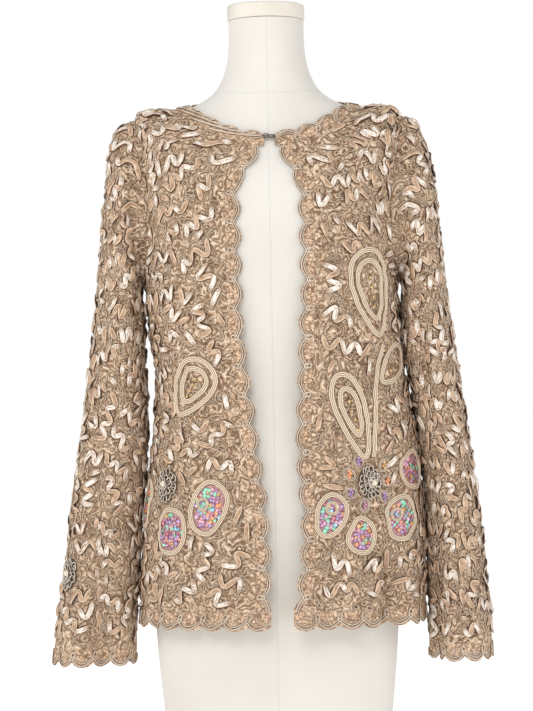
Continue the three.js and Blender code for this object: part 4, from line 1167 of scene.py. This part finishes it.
MAUVES = ((0.28, 0.09, 0.15), (0.74, 0.45, 0.40))
mauve = mottled("mauve_net", 260.0, 3.0, MAUVES, (0.6, 0.45), 0.0006, fine=0.6)
rng = np.random.default_rng(PETAL_SEED)
for name, (x, z, length, width, lean, dips, curl) in PETALS.items():
    host = "front_left" if x < 0 else "front_right"
    place = laid(x, z, *petal_rim(length, width, lean, dips, PETAL_RIM_SHARE), TAPE_LIFT)
    outlines = [(*place, PETAL_TAPE_WIDTH, PETAL_TAPE_HEIGHT, 0.0, 0.5)]
    if curl:
        turn = np.linspace(0, 2.2 * np.pi, 32)
        swirl = np.linspace(7.6, 6.6, 32)
        place = laid(x, z, curl[0] + swirl * np.cos(turn), curl[1] + swirl * np.sin(turn), 2.2)
        outlines.append((*place, CURL_TAPE_WIDTH, CURL_TAPE_HEIGHT, 0.0, 0.5))
    rim = swept(name + "_outline", outlines, TAPE_PROFILE, False, tape)
    rims = []
    for share, rise in ((0.84, 0.6), (0.6, 1.2), (0.3, 1.3), (0.02, 1.3)):
        u, v = petal_rim(length, width, lean, dips, share)
        rims.append(laid(x, z, u[:-1], v[:-1], rise)[0])
    net_pad = low_pad(name + "_net", rims, mauve)
    a, b = np.meshgrid(*(np.arange(-length / 2, length / 2, pitch) for pitch in SEQUIN_PITCHES))
    a = (a + rng.uniform(-1.3, 1.3, a.shape)).ravel()
    b = (b + rng.uniform(-1.3, 1.3, b.shape)).ravel()
    reach = np.hypot(a / (width / 2), b / (length / 2))
    inside = reach < 0.72 * dipped(np.arctan2(a / width, b / length), dips)
    u, v = leaned(a[inside], b[inside], lean)
    points, normals = laid(x, z, u, v, 1.9)
    chosen = SEQUIN_COLOURS[rng.choice(len(SEQUIN_COLOURS), len(u), p=SEQUIN_SHARES)]
    sizes = rng.uniform(*SEQUIN_RADII, len(u))
    filled = sequins(name + "_sequins", zip(points, normals, chosen, sizes), rng)
    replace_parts(filled, name)
    extras[host] += [rim, net_pad, filled]
drop_lines, drop_spots = [], []
for number, (x, z, lean) in enumerate(DROPS):
    for share in (1.0, 0.78):
        place = laid(x, z, *petal_rim(*DROP_SIZE, lean, (), share, 20), TAPE_LIFT)
        drop_lines.append(even_line(place, DROP_CORD, 0.9))
    colour = SEQUIN_COLOURS[DROP_COLOURS[number]]
    for a, b in ((0, 0), (0, 4), (0, -4), (2, 1), (-2, -1)):
        drop_spots.append((*laid(x, z, a, b, 1.4), colour, SEQUIN_RADII[0]))
drops = swept("flower_drops_outline", drop_lines, round_profile(5), True, cord)
extras["front_right"] += [drops, sequins("flower_drops_sequins", drop_spots, rng)]

# Beaded flower hearts: loops of metallic seed beads in three tiers round one pearl. There is one
# on each front and one on the left sleeve.
def on_left_sleeve(u, v, lift):
    """Points and normals round the flower heart's place on the left sleeve."""
    across, down = sleeves["sleeve_left"].pin(HEART_ON_SLEEVE)
    return sleeves["sleeve_left"].on(across + u, down - v, lift)


# The panel, the place on it, radius, height for its width, and where the pearl sits.
HEARTS = {
    "flower_heart_left": (
        "front_left", lambda u, v, lift: laid(-137, 334, u, v, lift), 18, 1.25, (1.5, 1.5)
    ),
    "flower_heart_right": (
        "front_right", lambda u, v, lift: laid(119, 334, u, v, lift), 16, 1.35, (5, 0)
    ),
    "flower_heart_sleeve": ("sleeve_left", on_left_sleeve, 17, 1.3, (-1, 2)),
}
# Tiers of loops: how far out, how many and how high.
HEART_TIERS = ((0.34, 6, 5.0), (0.62, 10, 3.4), (0.92, 14, 1.4))
BEAD_SIZE = 2.0
PEARL_RADIUS = 4.2
PEARL_LIFT = 6.0
SMALL_PEARL_RADIUS = 1.6
HEART_SEED = 90


def heart_lines(place, radius, tall, rng):
    """Loops of beads on wire, standing up in three tiers, taller towards the middle."""
    lines = []
    for reach, count, rise in HEART_TIERS:
        for k in range(count):
            a = 2 * math.pi * (k + rng.uniform(-0.3, 0.3)) / count
            turn = np.linspace(0, 2 * np.pi, 13)
            long = rng.uniform(3.8, 5.0)
            far = radius * reach + long * (np.cos(turn) - 0.9) + rng.uniform(-1, 1)
            wide = rng.uniform(2.1, 3.0) * np.sin(turn) * (1.2 + 0.4 * np.cos(turn))
            u = far * math.cos(a) - wide * math.sin(a)
            v = (far * math.sin(a) + wide * math.cos(a)) * tall
            spots = place(u, v, 1.6 + rise + rng.uniform(0.4, 1.6) * np.cos(turn))
            lines.append(even_line(spots, BEAD_SIZE, rng.uniform(0.3, 1)))
    return lines


bronze = Finish("metallic_seed_beads")
beading = (bronze.cloth.axis("Y") * 380.0).sine().rise(-0.6, 0.6)
bead_highlight = beading * 0.6 + bronze.attribute("shade") * 0.4
bead_side_shade = (bronze.cloth.axis("X") - 0.5).size()
# Painted highlight and shade: each bead along the wire is painted pale where light catches it, and the
# wire's sides dark brown, as shadow.
lit_bead = bead_highlight.mix((0.66, 0.50, 0.36), (1.0, 0.93, 0.82))
bronze.set(Base_Color=bead_side_shade.rise(0.22, 0.42).mix(lit_bead, (0.09, 0.05, 0.035)))
bronze.set(Metallic=0.15, Roughness=0.3 - beading * 0.1)
bronze.bump(beading, 0.0005)
# Painted shade: a dark brown pad under each heart's loops stands for the shadow between them.
SHADE_PAD_BROWNS = ((0.09, 0.055, 0.035), (0.20, 0.13, 0.085))
shade_pad = mottled("brown_felt", 300.0, 3.0, SHADE_PAD_BROWNS, (0.95, 0.90), 0.0005)
pearl_spots = []
for number, (name, (host, place, radius, tall, pearl_at)) in enumerate(HEARTS.items()):
    lines = heart_lines(place, radius, tall, np.random.default_rng(HEART_SEED + number))
    heart = swept(name + "_loops", lines, round_profile(6), True, bronze)
    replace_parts(heart, name)
    turn = np.linspace(0, 2 * np.pi, 28, endpoint=False)
    rims = []
    for share, rise in ((0.95, 0.2), (0.85, 1.8), (0.5, 2.6), (0.01, 2.8)):
        reach = radius * share
        rims.append(place(reach * np.sin(turn), reach * tall * np.cos(turn), rise)[0])
    extras[host] += [heart, low_pad(name + "_felt", rims, shade_pad)]
    pearl_spots.append((place(*pearl_at, PEARL_LIFT)[0], PEARL_RADIUS))
    for u, v in ((-5, -1), (0, 4.5), (-1, -5), (-3, 3)):
        pearl_spots.append((place(u, v, PEARL_LIFT)[0], SMALL_PEARL_RADIUS))

# Beads: gold ones inside the leaves, near the stem and scattered on both fronts, and the flower
# hearts' pearls. They are smooth and round, and each is sewn on by itself.
FRONT_BEAD = 1.5
GOLD_ON_FRONTS = (
    (-143, 421), (-138, 400), (-136, 382), (-136, 362), (-130, 344),
    (-151, 730), (-143, 727), (-143, 716), (-151, 699), (130, 725), (146, 700),
    (141, 500), (135, 482), (132, 466), (136, 453), (134, 437), (132, 420),
    (156, 555), (156, 536), (150, 518), (157, 470), (122, 664), (121, 640),
)


def balls(name, spots, finish, rings, around):
    """Round beads at (centre, radius)."""
    down = np.linspace(0, np.pi, rings + 1)[:, None]
    turn = np.arange(around) * 2 * np.pi / around
    level = np.sin(down)
    ball = np.stack([level * np.cos(turn), level * np.sin(turn), np.cos(down) + 0 * turn], -1)
    ball = ball.reshape(-1, 3)
    vertices = np.concatenate([centre + radius * ball for centre, radius in spots])
    faces = quads(rings + 1, around, True)[:, [0, 3, 2, 1]]
    faces = np.concatenate([faces + number * len(ball) for number in range(len(spots))])
    return piece(name, vertices, faces, finish)


GOLDS = ((0.62, 0.42, 0.17), (0.86, 0.68, 0.36))
gold = mottled("gold_beads", 700.0, 2.0, GOLDS, (0.2, 0.32), Metallic=0.75)
CREAMS = ((0.78, 0.66, 0.48), (0.90, 0.80, 0.64))
pearl = mottled("pearl", 500.0, 2.0, CREAMS, (0.2, 0.3), Coat_Weight=0.6)
gold_places = [(laid(x, z, lift=2.4)[0], FRONT_BEAD) for x, z in GOLD_ON_FRONTS]
balls("gold_beads", gold_places + gold_spots, gold, 6, 10)
balls("flower_pearls", pearl_spots, pearl, 8, 14)

# Neck fastening: a dark metal hook with a small stone, and its bar, over the ends of the border.
METAL_GREYS = ((0.05, 0.04, 0.035), (0.22, 0.19, 0.17))
dark_metal = mottled("dark_metal", 600.0, 3.0, METAL_GREYS, (0.25, 0.4), Metallic=0.9)
HOOK_HEIGHT = 775.5
HOOK_WIRE = 1.4
NECK_RADIUS = 110
MM_PER_RING = 20
# Rings of wire: middle, half width and half height.
HOOK_RINGS = ((-3, 776, 4.5, 3.0), (5, 775, 4.0, 2.2), (1, 775.5, 7.5, 1.2))
hook_lines = []
turn = np.linspace(0, 2 * np.pi, 25)
for x, z, wide, high in HOOK_RINGS:
    ring = 0.45 + (HOOK_HEIGHT - z) / MM_PER_RING
    phi = np.degrees(np.arcsin((x + wide * np.cos(turn)) / NECK_RADIUS))
    points = body_point(phi, ring - high * np.sin(turn) / MM_PER_RING)
    normals = points * np.array([1.0, 1.0, 0.0])
    normals /= np.linalg.norm(normals, axis=1, keepdims=True)
    hook_lines.append(even_line((points + normals * HOOK_WIRE, normals), HOOK_WIRE, 0.5))
hook = swept("closure_hook_wire", hook_lines, round_profile(6), True, dark_metal)
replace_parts(hook, "closure_hook")

# Dress form: a stuffed torso under a plain cotton jersey cover, sewn down the middle front and
# back and round the foot of the neck, with a painted cap on top and a board below.
# Rings as for the cardigan's body, from the top of the neck to the board.
FORM = {
    "neck top": (931, 931, 931, 49, 49, 56, 44, 2),
    "neck": (898, 900, 902, 49, 49, 55, 46, 2),
    "neck foot": (864, 868, 875, 54, 54, 55, 51, 2),
    "neck base": (833, 839, 852, 69, 69, 59, 54, 2),
    "collar": (784, 820.2, 836, 100, 100, 68, 53.5, 2),
    "yoke": (763, 816.2, 820, 121, 121, 79, 66, 2),
    "shoulder": (728, 800, 773, 163, 163, 94, 84, 2.2),
    "arm plate": (690, 755, 730, 162, 162, 102, 91, 2.3),
    "chest": (650, 690, 680, 156, 156, 108, 94, 2.35),
    "bust": (600, 600, 610, 150, 150, 114, 96, 2.35),
    "under bust": (545, 545, 545, 140, 140, 108, 89, 2.3),
    "waist": (470, 470, 470, 127, 127, 96, 78, 2.2),
    "high hip": (390, 390, 390, 144, 144, 103, 95, 2.2),
    "hip": (290, 290, 290, 158, 158, 108, 113, 2.2),
    "low hip": (210, 210, 210, 160, 160, 107, 114, 2.2),
    "thigh": (110, 110, 110, 155, 155, 101, 104, 2.2),
    "foot": (18.3, 18.3, 18.3, 146, 146, 94, 92, 2.2),
}
NECK_BASE = 3
SEAM_WIDTH = 1.3
cover = Finish("cotton_cover")
knit_inputs = {"Vector": cover.place, "Scale": 420.0, "Distortion": 1.2}
knit = cover.place.node("ShaderNodeTexWave", knit_inputs)
cloudy = cover.place.noise(7.0, 3.0).rise(0.3, 0.75)
fibres = cover.place.noise(1400.0, 2.0)
cover.set(Base_Color=(cloudy * 0.7 + fibres * 0.3).mix((0.74, 0.70, 0.63), (0.84, 0.81, 0.755)))
cover.set(Roughness=0.85 - cloudy * 0.08, Sheen_Weight=0.3)
cover.bump(knit * 0.5 + fibres * 0.5, 0.0002)
turn = np.linspace(0, 360, 121)
form_points = ring_point(FORM, turn[None, :], np.linspace(0, len(FORM) - 1, 170)[:, None])
form_cloth = Cloth(form_points, from_axis(form_points), around=True)
torso = form_cloth.mesh("form_torso_cover", cover, "form_cover")
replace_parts(torso, "form_torso")
seam_lines = []
for phi in (0, 180):
    rings = np.linspace(0.1, len(FORM) - 1.1, 150)
    points = ring_point(FORM, phi, rings)
    normals = np.broadcast_to([0.0, -1.0 if phi == 0 else 1.0, 0.0], points.shape)
    seam_lines.append((points + normals * 0.05, normals, SEAM_WIDTH, 0.9, 0.0, 0.5))
points = ring_point(FORM, turn, NECK_BASE)
normals = np.stack([np.sin(np.radians(turn)), -np.cos(np.radians(turn)), 0.4 + 0 * turn], 1)
normals /= np.linalg.norm(normals, axis=1, keepdims=True)
seam_lines.append((points, normals, SEAM_WIDTH, 1.0, 0.0, 0.5))
swept("form_cover_seams", seam_lines, round_profile(6), True, cover)

PAINTS = ((0.72, 0.665, 0.57), (0.80, 0.75, 0.665))
painted = mottled("painted_wood", 30.0, 4.0, PAINTS, (0.38, 0.5), 0.0002, Coat_Weight=0.2)


def turned(name, profile, middle_y, node, squash=1.0):
    """A painted piece turned from (radius, height) pairs, and made narrower from front to back."""
    turn = np.linspace(0, 2 * np.pi, 97)
    r, z = np.array(profile, float).T[..., None]
    y = middle_y + squash * r * np.sin(turn)
    points = np.stack([r * np.cos(turn), y, z + 0 * turn], -1)
    faces = quads(len(profile), len(turn))
    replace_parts(piece(name, points.reshape(-1, 3), faces, painted), node)


cap_profile = [(0.01, 931.4), (48, 931.4), (49.4, 931.8), (50, 933.4), (50, 948.4)]
for a in np.linspace(0.2, 1.57, 7):
    cap_profile.append((50 - 3 * (1 - math.cos(a)), 948.4 + 3 * math.sin(a)))
cap_profile += [(30, 952.1), (0.01, 952.4)]
turned("form_neck_cap_painted", cap_profile, -6, "form_neck_cap")
board_profile = ((0.01, 0), (137, 0), (140, 1.2), (141, 4), (141, 14), (140, 17), (137, 18), (0.01, 18))
BOARD_SQUASH = 88 / 141
turned("form_base_board_painted", board_profile, -1, "form_base_board", BOARD_SQUASH)

# What each piece of cloth was cut to, before it was sewn up, and what is sewn to it.
for node, cloth in all_cloths.items():
    width = cloth.widths.max() / 1000
    length = (cloth.fall.max() - cloth.fall.min()) / 1000
    area = min(cloth.area(), 0.999 * width * length)
for node in BORDERS:
    strip = borders[node]
    points = np.array([v.co for v in strip.data.vertices]).reshape(BORDER_ROWS, -1, 3)
    wide = np.linalg.norm(np.diff(points, axis=0), axis=2).sum(0).max()
    sewn_on = [borders[node + "_cords"]]

# Studio: a plain pale floor, broad soft lights from the front, both sides and the back, and even
# light all round. The camera sees the surroundings as white.
FLOOR_REACH = 60.0
floor_data = bpy.data.meshes.new("studio_floor")
floor_corners = [(FLOOR_REACH * x, FLOOR_REACH * y, 0) for x, y in ((-1, -1), (1, -1), (1, 1), (-1, 1))]
floor_data.from_pydata(floor_corners, [], [(0, 1, 2, 3)])
floor = bpy.data.objects.new("studio_floor", floor_data)
bpy.context.collection.objects.link(floor)
floor_finish = Finish("pale_floor")
pale = floor_finish.place.noise(2.0, 2.0).mix((0.90, 0.90, 0.895), (0.92, 0.92, 0.915))
floor_finish.set(Base_Color=pale, Roughness=0.9, Emission_Color=(1.0, 1.0, 1.0), Emission_Strength=0.5)
floor_data.materials.append(floor_finish.material)
# Place, size and power. All of them are turned to the middle of the part.
LIGHT_TARGET = Vector((0, 0, 0.5))
LIGHTS = {
    "front_light": ((-0.7, -3.0, 2.3), 1.6, 34),
    "left_light": ((-2.2, -1.6, 2.4), 1.2, 14),
    "right_light": ((2.4, -1.4, 1.6), 1.4, 8),
    "back_light": ((0.8, 2.6, 2.2), 2.0, 14),
}
for name, (place, size, power) in LIGHTS.items():
    data = bpy.data.lights.new(name, "AREA")
    data.shape = "DISK"
    data.size = size
    data.energy = power
    lamp = bpy.data.objects.new(name, data)
    lamp.location = place
    direction = LIGHT_TARGET - Vector(place)
    lamp.rotation_euler = direction.to_track_quat("-Z", "Y").to_euler()
    bpy.context.collection.objects.link(lamp)
world = bpy.data.worlds.new("studio")
world.use_nodes = True
sky = world.node_tree
background = sky.nodes["Background"]
seen = sky.nodes.new("ShaderNodeBackground")
for shader, strength in ((background, 0.55), (seen, 1.0)):
    shader.inputs["Color"].default_value = (1.0, 1.0, 1.0, 1)
    shader.inputs["Strength"].default_value = strength
path = sky.nodes.new("ShaderNodeLightPath")
blend = sky.nodes.new("ShaderNodeMixShader")
sky.links.new(path.outputs["Is Camera Ray"], blend.inputs[0])
sky.links.new(background.outputs[0], blend.inputs[1])
sky.links.new(seen.outputs[0], blend.inputs[2])
sky.links.new(blend.outputs[0], sky.nodes["World Output"].inputs["Surface"])
bpy.context.scene.world = world
